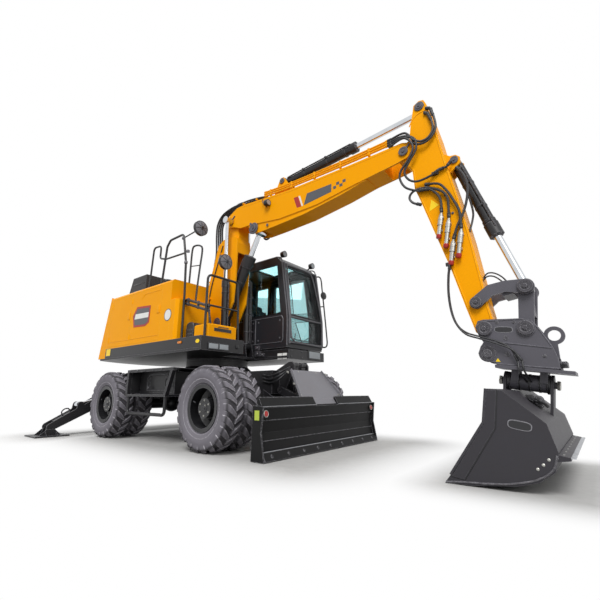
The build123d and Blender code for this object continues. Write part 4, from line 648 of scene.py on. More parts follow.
hub, cap = wheelSpec["hub"], wheelSpec["capFace"]
for label, x, s in [(end + "_" + hand, way * wheelSpec["axle"], s) for end, way in (("front", 1), ("rear", -1))
                    for hand, s in (("right", -1), ("left", 1))]:
    wheel, out = "wheel_" + label, (0, s, 0)
    for place, centre in wheelSpec["tyres"].items():
        addTyre(x, s * centre)
        keepPiece("tyre_" + label + "_" + place, wheel, "tyreRubber", sharp=28, node="tyres_" + label)
    for dx, dz in around(10, 0.15):
        addTurned((x + dx, s * wheelSpec["nutFace"], hub + dz), out, nutProfile, 6)
    addTurned((x, s * cap, hub), out, capProfile, 28)
    addTube([(x - 0.215, s * 1.2, 0.6), (x - 0.205, s * 1.225, 0.598), (x - 0.15, s * 1.232, 0.585)], 0.006)
    keepPiece("wheelNuts_" + label, wheel, "blackEnamel")
    for dx, dz in around(6, 0.092, math.pi / 6):
        addBolt((x + dx, s * cap, hub + dz), out, 0.008, 0.007)
    addBolt((x + 0.03, s * (cap + 0.006), hub + 0.03), out, 0.007, 0.008)
    keepPiece("hubBolts_" + label, wheel, "zincPlate")
print("wheels ready")


# Blade: the bolted cutting edge along the foot of the board
bladeSpec = dict(half=1.222, bolts=9, firstBolt=-1.1, boltPitch=0.275)
half = bladeSpec["half"]
addPlate([(2.3475, -half, 0.006), (2.3475, half, 0.006), (2.2985, half, 0.093), (2.2985, -half, 0.093)],
         (0.01, 0, 0.006), 0.003)
for n in range(bladeSpec["bolts"]):
    addBolt((2.329, bladeSpec["firstBolt"] + n * bladeSpec["boltPitch"], 0.055), (0.87, 0, 0.5), 0.013, 0.006)
keepPiece("bladeEdge", "blade", "bladeEnamel")

# rubbed edge above the cutting edge and along the top flanges
addTube([(2.3045, -1.221, 0.1005), (2.3045, 1.221, 0.1005)], 0.0045, 6)
for low, high in ((-1.222, -0.256), (0.256, 1.222)):
    addTube([(2.3035, low, 0.56), (2.3035, high, 0.56)], 0.0032, 6)
keepPiece("bladeLines", "blade", "wornSteel")

# pressed ribs across the board, the folded lip of the top flange and the ends' edges
for z, x in ((0.205, 2.2695), (0.415, 2.2755)):
    addTube([(x, -1.222, z), (x, 1.222, z)], 0.006)
for low, high in ((-1.224, -0.252), (0.252, 1.224)):
    addTube([(2.3, low, 0.552), (2.3, high, 0.552)], 0.005)
    addTube([(2.2325, low, 0.654), (2.2325, high, 0.654)], 0.006)
for s in sides:
    addTube(inPlane(s * 1.2335, (2.35, 0.012), (2.298, 0.29), (2.327, 0.56)), 0.004)
keepPiece("bladeSeams", "blade", "bladeEnamel")

# sheet over the linkage: trapezoid with turned-up side flanges, drawn over the plain plate
guardRows = [(1.9365, 0.34, 1.0005), (2.2165, 0.468, 0.6255), (2.2635, 0.468, 0.5605)]
for (x0, y0, z0), (x1, y1, z1) in zip(guardRows, guardRows[1:]):
    addPlate([(x0, -y0, z0), (x0, y0, z0), (x1, y1, z1), (x1, -y1, z1)], (0.004, 0, 0.003), 0.0015)
for s in (1, -1):
    edge = [(x, s * y, z) for x, y, z in guardRows[:2]]
    addPlate(edge + [(x + 0.028, y, z + 0.02) for x, y, z in reversed(edge)], (0, s * 0.004, 0), 0.001)
keepPiece("bladeGuard", "blade", "greyPlate")

for y in (-0.43, 0.43):
    for t in (0.1, 0.5, 0.88):
        addBolt((1.939 + 0.28 * t, y, 1.002 - 0.375 * t), (0.85, 0, 0.53), 0.013, 0.01)
for y in (-0.2, 0.2):
    addBolt((1.956, y, 0.975), (0.85, 0, 0.53), 0.011, 0.008)
keepPiece("bladeGuardBolts", "blade", "zincPlate")

for name, x, finish, profile in (
        ("bladeReflectors", 2.2985, "redLens", [(0.03, 0), (0.03, 0.006), (0.026, 0.01), (0, 0.011)]),
        ("bladeReflectorRims", 2.2975, "zincPlate", [(0.03, 0), (0.038, 0), (0.038, 0.007), (0.034, 0.01),
                                                     (0.03, 0.008)])):
    for s in sides:
        addTurned((x, s * 1.17, 0.485), (1, 0, 0.1), profile, 28)
    keepPiece(name, "blade", finish)
addPlate(inPlane(-1.2455, (2.205, 0.42), (2.275, 0.42), (2.275, 0.52), (2.205, 0.52)), (0, -0.002, 0), 0.0008)
keepPiece("bladeEndPlate", "blade", "limeFilm")


# Chassis, side boxes and outriggers
for s in sides:
    for k in range(3):
        z = 0.86 + 0.045 * k
        addHose([(1.42, s * 0.327, z), (1.6, s * (0.34 + 0.01 * k), z - 0.02), (1.74, s * 0.33, z + 0.03),
                 (1.8, s * 0.18, 1.03 + 0.01 * k)], 0.011)
    addHose([(-1.62, s * 0.33, 0.9), (-1.86, s * 0.36, 0.93), (-2.03, s * 0.3, 0.9), (-2.07, s * 0.22, 0.84)], 0.012)
keepPiece("chassisHoses", "chassis", "hoseRubber")

for x, y in around(36, 0.6):
    addBolt((x, y, 1.0095), (0, 0, 1), 0.011, 0.012)
for s in sides:
    for x in (-0.62, -0.4, -0.18, 0.04, 0.26):
        addBolt((x, s * 1.2155, 1.03), (0, s, 0), 0.01, 0.008)
    addPinHead((1.65, s * 0.3285, 0.505), (0, s, 0), 0.046)
    for x, way in ((-2.3875, -1), (-2.0625, 1)):
        addPinHead((x, s * 0.8, 0.64), (way, 0, 0), 0.052)
        addPinHead((x, s * 0.11, 0.8), (way, 0, 0), 0.042)
keepPiece("chassisBolts", "chassis", "charcoalEnamel")

# raised studs on the step tubes and the shelf edge
for s in sides:
    for n in range(22):
        addCuboid((-0.56 + n * 0.038, s * 1.175, 0.4225), (0.018, 0.026, 0.005), 0.002)
    for n in range(26):
        addCuboid((-0.64 + n * 0.045, s * 1.185, 1.0515), (0.026, 0.034, 0.004), 0.0015)
keepPiece("stepTreads", "chassis", "charcoalEnamel")

# liner plates that close the open end of the side frames
for s in sides:
    addCuboid((-0.672, s * 0.985, 0.865), (0.012, 0.34, 0.34), 0.003)
    addCuboid((-0.53, s * 0.86, 0.865), (0.28, 0.01, 0.34), 0.003)
keepPiece("sidePanels", "chassis", "charcoalEnamel")

for s in sides:
    addCuboid((-2.094, s * 0.24, 0.945), (0.01, 0.13, 0.06), 0.006)
keepPiece("rearLamps", "chassis", "redLens")

# pressed line and latches on each side lid, from the lid's own box
for label, s in (("right", -1), ("left", 1)):
    low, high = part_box("side_lid_" + label)
    x0, x1, z0, z1 = low[0] + rowShift + 0.02, high[0] + rowShift - 0.02, low[2] + 0.02, high[2] - 0.02
    y = s * (max(abs(low[1]), abs(high[1])) + 0.0015)
    addTube(inPlane(y, (x0, z0 + 0.01), (x0, z1 - 0.05), (x0 + 0.05, z1), (x1 - 0.05, z1), (x1, z1 - 0.05),
                    (x1, z0 + 0.01)),
            0.0045, 6, closed=True)
    for x, z in ((x0 + 0.03, z0 + 0.05), (x1 - 0.035, z0 + 0.06), (x1 - 0.035, (z0 + z1) / 2),
                 (x1 - 0.06, z1 - 0.045)):
        addCuboid((x, y, z), (0.045, 0.008, 0.034), 0.003)
        addTurned((x, y + s * 0.004, z), (0, s, 0), [(0.011, 0), (0.011, 0.004), (0.007, 0.006), (0, 0.006)], 16)
    keepPiece("boxLatches_" + label, "side_lid_" + label, "pinSteel")

for label, s in (("right", -1), ("left", 1)):
    # hose guard loop on the outrigger's arm
    foot, head, rise = Vector((-2.225, s * 1.385, 0.345)), Vector((-2.225, s * 1.49, 0.288)), Vector((0, s * 0.045,
                                                                                                      0.085))
    addTube(softCurve([foot, foot + rise, (foot + head) / 2 + rise * 1.3, head + rise, head], 6), 0.011)
    keepPiece("outriggerArmLoop_" + label, "outrigger_arm_" + label, "charcoalEnamel")
    # welded ribs of the pad, either side of its ears
    for x in (-2.348, -2.11):
        addPlate([(x, s * y, z) for y, z in ((1.54, 0.0215), (1.86, 0.0215), (1.76, 0.115), (1.64, 0.115))],
                 (0.008, 0, 0), 0.0015)
    for y in (1.62, 1.78):
        for x, way in ((-2.348, -1), (-2.102, 1)):
            addPlate(inPlane(s * y, (x, 0.0215), (x + way * 0.08, 0.0215), (x, 0.085)), (0, 0.008, 0), 0.001)
    keepPiece("outriggerPadRibs_" + label, "outrigger_pad_" + label, "charcoalEnamel")
print("blade, chassis and outriggers ready")


# Body: badge, signs and plates on the right face, all without print
face, outward = -1.2465, (0, -1, 0)
for name, finish, lift, thick, round, points in (
        ("sideBadge", "greyFilm", 0.0012, 0.001, 0.0003,
         ((-0.63, 1.9), (-0.588, 1.752), (-0.262, 1.738), (-0.186, 1.776), (-0.178, 1.998), (-0.54, 2.022))),
        ("sideBadgeRed", "redCap", 0, 0.0012, 0.0004,
         ((-0.671, 1.912), (-0.614, 1.723), (-0.259, 1.709), (-0.152, 1.759), (-0.143, 2.027), (-0.558, 2.055))),
        ("sideBadgeBand", "whiteFilm", 0.0022, 0.0009, 0.0003,
         ((-0.606, 1.852), (-0.186, 1.842), (-0.182, 1.922), (-0.584, 1.936)))):
    addPlate(inPlane(face - lift, *points), (0, -thick, 0), round)
    keepPiece(name, "hood_door_front", finish)

for name, finish, profile in (
        ("roundSign", "whiteFilm", [(0, 0.0016), (0.079, 0.0016), (0.08, 0)]),
        ("roundSignRing", "greyFilm", [(0.08, 0), (0.08, 0.0022), (0.09, 0.0022), (0.091, 0)])):
    addTurned((0.352, face, 1.809), outward, profile, 40)
    keepPiece(name, "superstructure", finish)

addPlate(inPlane(face - 0.0008, (-1.462, 1.315), (-1.318, 1.315), (-1.318, 1.429), (-1.462, 1.429)), (0, -0.0012, 0),
         0.0004)
addPlate(inPlane(face, *[(1.11 + 0.042 * c, 1.362 + 0.026 * s) for c, s in around(24)]), (0, -0.0014, 0), 0.0004)
keepPiece("bodyPlates", "superstructure", "yellowFilm")
addPlate(inPlane(face, (-1.47, 1.307), (-1.31, 1.307), (-1.31, 1.437), (-1.47, 1.437)), (0, -0.001, 0), 0.0003)
keepPiece("plateBorder", "superstructure", "greyFilm")
addCuboid((0.712, -1.251, 1.374), (0.085, 0.012, 0.032), 0.005, steps=3)
keepPiece("amberMarker", "superstructure", "amberLens")

# latches, creases and air inlet of the hood doors
for name, x in (("rear", -0.8), ("front", 0.09)):
    addCuboid((x, -1.2495, 1.93), (0.075, 0.01, 0.115), 0.006)
    keepPiece("doorLatch" + name.title(), "hood_door_" + name, "yellowEnamel")

grilleFace, grilleTilt = -face, spin("X", 32)
for z in (1.56, 2.2):
    addCuboid((-1.06, grilleFace, z), (0.63, 0.008, 0.016), 0.003)
for x in (-1.367, -0.753):
    addCuboid((x, grilleFace, 1.88), (0.016, 0.008, 0.64), 0.003)
for n in range(15):
    addCuboid((-1.06, grilleFace, 1.56 + (n + 0.5) * 0.64 / 15), (0.6, 0.005, 0.64 / 15 * 0.72), 0.0015, grilleTilt,
              1)
keepPiece("doorGrilleLeft", "hood_door_left", "blackEnamel")

for name, lines in (("rear", [[(-1.435, 1.545), (-0.752, 1.54)]]),
                    ("front", [[(-0.728, 1.54), (0.145, 1.535)], [(-0.44, 2.17), (-0.35, 2.235), (0.13, 2.235)]])):
    for line in lines:
        addTube(inPlane(-1.2455, *line), 0.0045, 6)
    keepPiece("doorCrease" + name.title(), "hood_door_" + name, "yellowEnamel")

for n in range(13):
    addCuboid((-1.23 + n * 0.03, -0.25, 2.7375), (0.014, 0.95, 0.006), 0.002, steps=1)
for y in (-0.86, 0.36):
    addCuboid((-1.05, y, 2.739), (0.3, 0.05, 0.008), 0.003)
for z in (2.47, 2.6):
    addCuboid((-1.06, -1.0025, z), (0.36, 0.006, 0.02), 0.003)
keepPiece("lidGrille", "hood_lid", "blackEnamel")

# latch bars beside the tool box, filler cap, louvred boxes on the roof
for rise in (0, 0.062):
    addTube([(0.562, -1.1, 1.975 + rise * 0.6), (0.62, -1.12, 1.958 + rise), (1.1, -1.12, 1.8 + rise),
             (1.152, -1.12, 1.775 + rise)],
            0.019, 10)
for x, z in ((0.66, 1.945), (0.9, 1.866), (1.13, 1.79)):
    addCuboid((x, -1.12, z + 0.034), (0.022, 0.03, 0.115), 0.004)
addTube([(1.142, -1.12, 1.8), (1.142, -1.1, 1.7), (1.142, -1.08, 1.614)], 0.014)
fillerCap = [(0.072, 0), (0.072, 0.012), (0.06, 0.016), (0.06, 0.05), (0.052, 0.058), (0, 0.058)]
addTurned((-0.28, -0.96, 2.355), (0, 0, 1), fillerCap, 28)
for x in (-0.2, 0.05, 0.28):
    addCuboid((x, -0.75, 2.3575), (0.16, 0.3, 0.005), 0.002)
    for n in range(5):
        addCuboid((x, -0.85 + n * 0.05, 2.3615), (0.13, 0.016, 0.005), 0.0015, steps=1)
keepPiece("roofFittings", "superstructure", "charcoalEnamel")

# turned bowl of the air pre-cleaner with its fins, and the tail pipe's lip
bowl = [(0.121, -0.072), (0.1235, -0.068), (0.1235, -0.012), (0.118, 0), (0.06, 0.001), (0.052, 0.012), (0, 0.014)]
addTurned((-0.56, -0.76, 2.615), (0, 0, 1), bowl, 36)
for n, (dx, dy) in enumerate(around(20, 0.093)):
    addCuboid((-0.56 + dx, -0.76 + dy, 2.44), (0.012, 0.006, 0.15), 0.002, spin("Z", 18 * n), 1)
lip = [(0.0505, -0.06), (0.056, -0.055), (0.056, 0.028), (0.05, 0.031), (0.044, 0.028), (0.044, -0.02), (0, -0.02)]
addTurned((-0.62, -0.42, 2.655), (0, 0, 1), lip, 30)
keepPiece("precleaner", "superstructure", "blackEnamel")

# dark case with a rounded lid beside the tool box
lid = [(0.735 - 0.085 * math.cos(math.pi * n / 8), 1.62 + 0.055 * math.sin(math.pi * n / 8)) for n in range(9)]
addPlate(inPlane(-1.12, (0.65, 1.4355), *lid, (0.82, 1.4355)), (0, 0.42, 0), 0.006)
for z in (1.5, 1.56):
    addCuboid((0.735, -1.1225, z), (0.12, 0.006, 0.016), 0.002)
keepPiece("frontRightCase", "superstructure", "charcoalEnamel")

addCuboid((1.1675, -0.88, 1.54), (0.006, 0.3, 0.045), 0.003)
addTube([(1.168, -0.96, 1.575), (1.185, -0.96, 1.575), (1.185, -0.8, 1.575), (1.168, -0.8, 1.575)], 0.006)
for x in (0.87, 1.15):
    for y in (-1.1, -0.66):
        addBolt((x, y, 1.6155), (0, 0, 1), 0.009, 0.007)
keepPiece("toolboxTrim", "superstructure", "blackEnamel")

for y in (-1.045, -0.868):
    addCuboid((1.1935, y, 1.307), (0.01, 0.15, 0.068), 0.006, steps=3)
keepPiece("lampLenses", "superstructure", "clearLens")
addCuboid((1.186, -0.957, 1.307), (0.014, 0.345, 0.092), 0.008, steps=3)
for y in (-1.045, -0.868):
    for z in (1.268, 1.346):
        addCuboid((1.1945, y, z), (0.007, 0.16, 0.008), 0.002)
addTurned((1.18, -0.62, 1.335), (1, 0, 0), [(0.03, 0), (0.03, 0.01), (0.022, 0.014), (0, 0.014)])
keepPiece("lampHousing", "superstructure", "blackEnamel")


def tailRadius(z):
    # the counterweight's rear face leans in towards its top
    return 2.15 - 0.19 * (z - 1.275) / 1.08


for s in sides:
    addTube(softCurve(inPlane(s * 0.55, (-1.72, 2.35), (-1.72, 2.44), (-1.62, 2.44), (-1.62, 2.35)), 6), 0.014)
for z in (1.6 + n * 0.055 for n in range(9)):
    angles = [math.radians(165 + 2.5 * k) for k in range(13)]
    radius = tailRadius(z) + 0.003
    addTube([(radius * math.cos(a), radius * math.sin(a), z) for a in angles], 0.009, 6)
keepPiece("tailGrille", "superstructure", "charcoalEnamel")
for s in sides:
    a = math.radians(180 + s * 27)
    spot = (tailRadius(1.5) * math.cos(a), tailRadius(1.5) * math.sin(a), 1.5)
    addCuboid(spot, (0.026, 0.2, 0.085), 0.01, spin("Z", 180 + s * 27), 3)
keepPiece("tailLamps", "superstructure", "redLens")

# grab loop from the roof to the step block, with a cross bar
addTube(softCurve(inPlane(-0.9, (0.312, 2.354), (0.322, 2.65), (0.337, 2.935), (0.403, 2.985), (0.535, 2.952),
                          (0.597, 2.868),
                          (0.566, 2.58), (0.535, 2.302), (0.515, 2.031)), 7), 0.015)
addTube(inPlane(-0.9, (0.325, 2.655), (0.57, 2.62)), 0.009)
for x, z in ((0.312, 2.3545), (0.515, 2.0295)):
    addTurned((x, -0.9, z), (0, 0, 1), [(0.028, 0), (0.028, 0.006), (0.02, 0.01), (0.016, 0.01)], 20)
keepPiece("roofLoop", "superstructure", "blackEnamel")

# mirrors: glass, shell with its clamps, and the ribs of the back, darker than the shell
mirrors = [(0.888, -1.15, 3.06), (1.138, -0.86, 2.56)]  # middles of their backs
for x, y, z in mirrors:
    addTurned((x - 0.0385, y, z), (-1, 0, 0), [(0.1, 0), (0.1, 0.002), (0.095, 0.004), (0, 0.006)], 36)
keepPiece("mirrorGlasses", "superstructure", "mirrorGlass")
for x, y, z in mirrors:
    addTurned((x - 0.036, y, z), (-1, 0, 0), [(0.1, 0), (0.112, 0), (0.113, 0.004), (0.107, 0.009), (0.1, 0.007)], 36)
for spot in mirrors:
    addTurned(spot, (1, 0, 0), [(0.108, 0), (0.108, 0.003), (0.07, 0.018), (0.03, 0.022), (0, 0.022)], 36)
for x, z in ((0.59, 2.752), (0.56, 2.582), (0.448, 3.002)):
    addTurned((x, -1.15, z), (0, 0.05, 1), [(0.024, 0), (0.026, 0.004), (0.026, 0.032), (0.024, 0.036)], 20)
keepPiece("mirrorShells", "superstructure", "greyPlate")
for x, y, z in mirrors:
    for c, s in around(8, 1, 0.2):
        addTube([(x + dx, y + c * r, z + s * r) for dx, r in ((0.024, 0.03), (0.02, 0.068), (0.005, 0.105))], 0.0042,
                6)
    addTube([(x + 0.002, y + c, z + s) for c, s in around(36, 0.1085)], 0.006, 6, closed=True)
    addTurned((x + 0.02, y, z), (1, 0, 0), [(0.028, 0), (0.028, 0.008), (0.02, 0.014), (0, 0.014)], 20)
keepPiece("mirrorSpokes", "superstructure", "blackEnamel")
print("body ready")


# Cab: lamp shells round the plain lamps, with stalks and lenses
cabMiddle = 0.765
lampBody = [(0, -0.022), (0.03, -0.02), (0.05, -0.008), (0.0545, 0.02), (0.0565, 0.055), (0.0565, 0.066),
            (0.051, 0.069), (0.048, 0.062)]
for y in (0.363, 1.167):
    addTube([(1.1, y, 2.985), (1.13, y, 3.005), (1.16, y, 3.025)], 0.0125)
    addTurned((1.145, y, 3.035), (1, 0, 0), lampBody, 28)
keepPiece("roofLamps", "superstructure", "blackEnamel")
for y in (0.363, 1.167):
    addTurned((1.145, y, 3.035), (1, 0, 0), [(0.0505, 0.0612), (0.046, 0.066), (0, 0.07)], 28)
keepPiece("roofLampLenses", "superstructure", "clearLens")


guardSpec = dict(face=1.362, bend=1.93, lean=0.13, leanHeight=0.94, pitch=0.0275, uprights=32, levels=49, wire=0.0022,
                 rim=0.007)


def guardPlane(z):
    # middle of the guard's tubes: upright below the bend, leaning back above it
    past = max(z - guardSpec["bend"], 0)
    return guardSpec["face"] - guardSpec["lean"] * past / guardSpec["leanHeight"]


def seenOnGuard(corners):
    # corners drawn on the upright plane, carried along the line of sight to the leaning guard
    eye = Vector(cameraSpec["place"])
    found = []
    for y, z in corners:
        point = Vector((guardSpec["face"], y, z))
        for n in range(6):
            way = point - eye
            point = eye + way * ((guardPlane(point.z) - eye.x) / way.x)
        found.append((point.y, point.z))
    return found


guardOpenings = [seenOnGuard(c) for c in (
    [(0.334, 2.527), (0.86, 2.70), (0.956, 2.059), (0.417, 1.953)],
    [(0.467, 1.818), (0.821, 1.895), (0.934, 1.744), (0.833, 1.611), (0.626, 1.521)])]


def insideOpening(y, z):
    for ring in guardOpenings:
        signs = [(b[0] - a[0]) * (z - a[1]) - (b[1] - a[1]) * (y - a[0]) > 0 for a,
                 b in zip(ring, ring[1:] + ring[:1])]
        if all(signs) or not any(signs):
            return True
    return False


def addWire(start, end):
    # one wire of the guard, left out where the openings are, with a bend where the guard bends
    runs = [[]]
    for k in range(73):
        y, z = [a + (b - a) * k / 72 for a, b in zip(start, end)]
        if insideOpening(y, z):
            runs.append([])
        else:
            runs[-1].append((guardPlane(z), y, z))
    for run in runs:
        if len(run) > 1:
            addTube([run[0], *[p for p in run[1:-1] if 1.9 < p[2] < 1.96][:1], run[-1]], guardSpec["wire"], 4)


for y in (0.34 + n * guardSpec["pitch"] for n in range(guardSpec["uprights"])):
    addWire((y, 1.49), (y, 2.845))
for z in (1.505 + n * guardSpec["pitch"] for n in range(guardSpec["levels"])):
    addWire((0.325, z), (1.205, z))
for ring in guardOpenings:
    addTube([(guardPlane(z) + 0.001, y, z) for y, z in ring], guardSpec["rim"], closed=True)
keepPiece("guardMesh", "superstructure", "blackWire")

# hinge rolls of the guard and the rounded tube round its face
for y in (0.325, 1.205):
    for z in (1.58, 1.85, 2.3, 2.7):
        addTurned((guardPlane(z) - 0.004, y, z), (0, 0, 1), [(0.022, -0.02), (0.025, -0.016), (0.025, 0.016),
                                                             (0.022, 0.02)], 18)
guardRing = [(0.36, 2.83), (0.9, 2.845), (1.06, 2.78), (1.13, 2.5), (1.18, 1.95), (1.185, 1.56), (1.12, 1.5),
             (0.5, 1.5), (0.4, 1.54),
             (0.345, 1.62), (0.34, 2.2), (0.36, 2.83)]
addTube(softCurve([(guardPlane(z) + 0.012, y, z) for y, z in guardRing], 4), 0.013)
keepPiece("guardBars", "superstructure", "tubeEnamel")

loop = inPlane(1.272, (1.388, 1.49), (1.433, 1.545), (1.425, 1.7), (1.384, 2.15), (1.342, 2.56), (1.322, 2.748),
               (1.277, 2.826))
addTube(softCurve([(1.279, 1.245, 1.507), *loop, (1.183, 1.245, 2.834)], 7), 0.013)
addTube([(1.372, 1.272, 2.24), (1.275, 1.243, 2.24)], 0.01)
addTurned((1.366, 1.262, 2.44), (1, -0.12, 0), [(0.066, 0), (0.072, 0.008), (0.07, 0.024), (0.045, 0.036), (0, 0.04)],
          30)
keepPiece("leftMirrorLoop", "superstructure", "blackEnamel")

# rubber frames round the panes, in front of the posts
for pane in (inPlane(0.2835, (-0.31, 1.98), (1.2, 1.98), (1.11, 2.84), (-0.31, 2.84)),
             inPlane(1.2465, (-0.32, 2), (0.02, 2), (0.02, 2.82), (-0.32, 2.82)),
             [(-0.4315, 0.405, 2.08), (-0.4315, 1.125, 2.08), (-0.4315, 1.125, 2.82), (-0.4315, 0.405, 2.82)],
             [(0.3, 0.445, 2.9915), (0.9, 0.445, 2.9915), (0.9, 1.085, 2.9915), (0.3, 1.085, 2.9915)]):
    addTube(pane, 0.009, closed=True)
keepPiece("cabSeals", "superstructure", "hoseRubber")
addTube(inPlane(1.2465, (0.21, 1.56), (1.07, 1.56), (1.07, 1.95), (0.95, 2.79), (0.21, 2.79)), 0.009, closed=True)
addCuboid((1.06, 1.2505, 1.5), (0.13, 0.014, 0.045), 0.006)
addTube(softCurve([(0.3, 1.243, 1.66), (0.3, 1.262, 1.66), (0.3, 1.262, 2.05), (0.3, 1.243, 2.05)], 6), 0.01)
keepPiece("doorSeal", "cab_door", "hoseRubber")

# dark frame of the front lamp, bolts, seams and vent slots
addCuboid((1.38, 0.958, 1.322), (0.012, 0.345, 0.15), 0.01, steps=3)
for y in (0.35, 0.62):
    for z in (1.26, 1.35):
        addBolt((1.3755, y, z), (1, 0, 0), 0.01, 0.008)
for z in (1.55, 1.9):
    addCuboid((1.334, cabMiddle, z), (0.006, 0.62, 0.014), 0.002)
for n in range(12):
    addCuboid((-0.4525, 0.42 + n * 0.055, 1.3), (0.005, 0.03, 0.08), 0.002, steps=1)
keepPiece("cabBaseFittings", "superstructure", "blackEnamel")

# rounded lighter grey tubes along the cab shell's edges as painted highlight: posts, roof rails and the frame of the
# lower side panel
for y in (0.289, 1.241):
    addTube(softCurve(inPlane(y, (1.331, 1.44), (1.331, 1.93), (1.272, 2.4), (1.213, 2.86), (1.165, 2.955),
                              (1.08, 2.985)), 6), 0.011)
    addTube(inPlane(y, (1.08, 2.985), (0.2, 2.989), (-0.38, 2.975), (-0.425, 2.9), (-0.425, 2)), 0.009)
addTube(inPlane(0.284, (-0.3, 1.5), (1.22, 1.5), (1.25, 1.55), (1.25, 1.88), (1.22, 1.93), (-0.3, 1.93)), 0.008,
        closed=True)
addTube(inPlane(0.284, (0.62, 1.5), (0.62, 1.93)), 0.008)
for x, z in ((-0.24, 1.56), (-0.24, 1.87), (0.56, 1.56), (0.56, 1.87), (0.69, 1.56), (0.69, 1.87), (1.18, 1.57),
             (1.18, 1.86)):
    addBolt((x, 0.2845, z), outward, 0.01, 0.007)
# lighter tubes stand in for highlight along the cab's edges
keepPiece("cabPillars", "superstructure", "tubeEnamel")

# three pipes up the cab's right face, with clamps and a small valve stack at their foot
for k, x in enumerate((0.462, 0.492, 0.522)):
    addTube(softCurve([(x + 0.02, 0.262, 1.33), (x + 0.018, 0.256, 1.6), (x + 0.004, 0.256, 2.2),
                       (x - 0.012, 0.256, 2.55),
                       (x - 0.014, 0.262, 2.66 - 0.02 * k), (x - 0.04, 0.28, 2.7 - 0.03 * k)], 6), 0.01)
for x, z in ((0.508, 1.72), (0.502, 2.02), (0.492, 2.34)):
    addCuboid((x, 0.268, z), (0.115, 0.034, 0.03), 0.004)
    addBolt((x + 0.045, 0.251, z), outward, 0.007, 0.006)
for x, z, wide, high in ((0.72, 1.335, 0.13, 0.09), (0.71, 1.43, 0.1, 0.08), (0.83, 1.31, 0.07, 0.05)):
    addCuboid((x, 0.262, z), (wide, 0.04, high), 0.006, steps=3)
    addTurned((x, 0.242, z), outward, [(0.02, 0), (0.02, 0.008), (0.014, 0.012), (0.014, 0.02), (0, 0.02)], 6)
keepPiece("cabPipes", "superstructure", "pinSteel")

addCuboid((1.3885, 0.958, 1.322), (0.007, 0.3, 0.11), 0.005, steps=3)
keepPiece("cabBaseLens", "superstructure", "clearLens")
for x in (1.146, 1.25):
    addPlate(inPlane(0.2785, (x, 1.222), (x + 0.094, 1.222), (x + 0.094, 1.316), (x, 1.316)), (0, -0.0015, 0), 0.0005)
keepPiece("cabPlates", "superstructure", "whiteFilm")
print("cab shell ready")


# Operator's seat and controls, in place of the plain interior
seatSpec = dict(
    # middle, size, crown, tilt in degrees and number of channels
    seatCushion=((0.275, cabMiddle, 1.765), (0.47, 0.47, 0.105), 0.018, 0, 3),
    seatBack=((0.02, cabMiddle, 2.085), (0.52, 0.45, 0.1), 0.016, -83, 3),
    seatHeadrest=((-0.045, cabMiddle, 2.455), (0.16, 0.24, 0.075), 0.01, -83, 0),
)


def crownedPad(name, middle, size, crown, tilt, channels):
    # stuffed pad: a fine grid box whose faces swell and whose seams pull in
    bm = draft["bm"]
    bmesh.ops.create_cube(bm, size=1.0)
    bmesh.ops.subdivide_edges(bm, edges=bm.edges[:], cuts=11, use_grid_fill=True)
    for v in bm.verts:
        p = v.co * 2
        swell = (1 - abs(p.x) ** 3) * (1 - abs(p.y) ** 3)
        pull = 1 - 0.06 * max(0.0, abs(p.x) ** 4 + abs(p.y) ** 4 + abs(p.z) ** 4 - 1.2)
        groove = 0.0
        if channels and p.z > 0.2:
            groove = 0.10 * math.exp(-(math.sin(p.x * math.pi * channels / 2) / 0.22) ** 2)
        side = 1 + 0.05 * (1 - abs(p.z) ** 2)
        rise = crown * swell * p.z if p.z > 0 else 0
        v.co = Vector((p.x / 2 * size[0] * pull * side, p.y / 2 * size[1] * pull * side,
                       p.z / 2 * size[2] * pull + rise - groove * size[2] * 0.6))
    bmesh.ops.smooth_vert(bm, verts=bm.verts[:], factor=0.5, use_axis_x=True, use_axis_y=True, use_axis_z=True)
    for v in bm.verts:
        v.co = spin("Y", tilt) @ v.co + Vector(middle)
    piece = keepPiece(name, "superstructure", "seatCloth", sharp=70, node="cab_interior")
    smooth = piece.modifiers.new("soft", "SUBSURF")
    smooth.levels = smooth.render_levels = 1


for name, sizes in seatSpec.items():
    crownedPad(name, *sizes)

# suspension box with bellows, side cheeks and belt buckles
for n in range(6):
    addCuboid((0.24, cabMiddle, 1.475 + n * 0.036), (0.34 - 0.02 * (n % 2), 0.34 - 0.02 * (n % 2), 0.034), 0.01)
addCuboid((0.26, cabMiddle, 1.694), (0.46, 0.47, 0.03), 0.01)
for s in sides:
    addCuboid((0.23, cabMiddle + s * 0.245, 1.735), (0.36, 0.022, 0.07), 0.008)
addCuboid((-0.045, cabMiddle, 2.09), (0.03, 0.42, 0.5), 0.012, spin("Y", 7))
for s in sides:
    addTube([(-0.045, cabMiddle + s * 0.05, 2.3), (-0.055, cabMiddle + s * 0.05, 2.42)], 0.007)
    addCuboid((0.13, cabMiddle + s * 0.262, 1.8), (0.05, 0.018, 0.09), 0.006)
keepPiece("seatFrame", "superstructure", "blackVinyl", sharp=40, node="cab_interior")

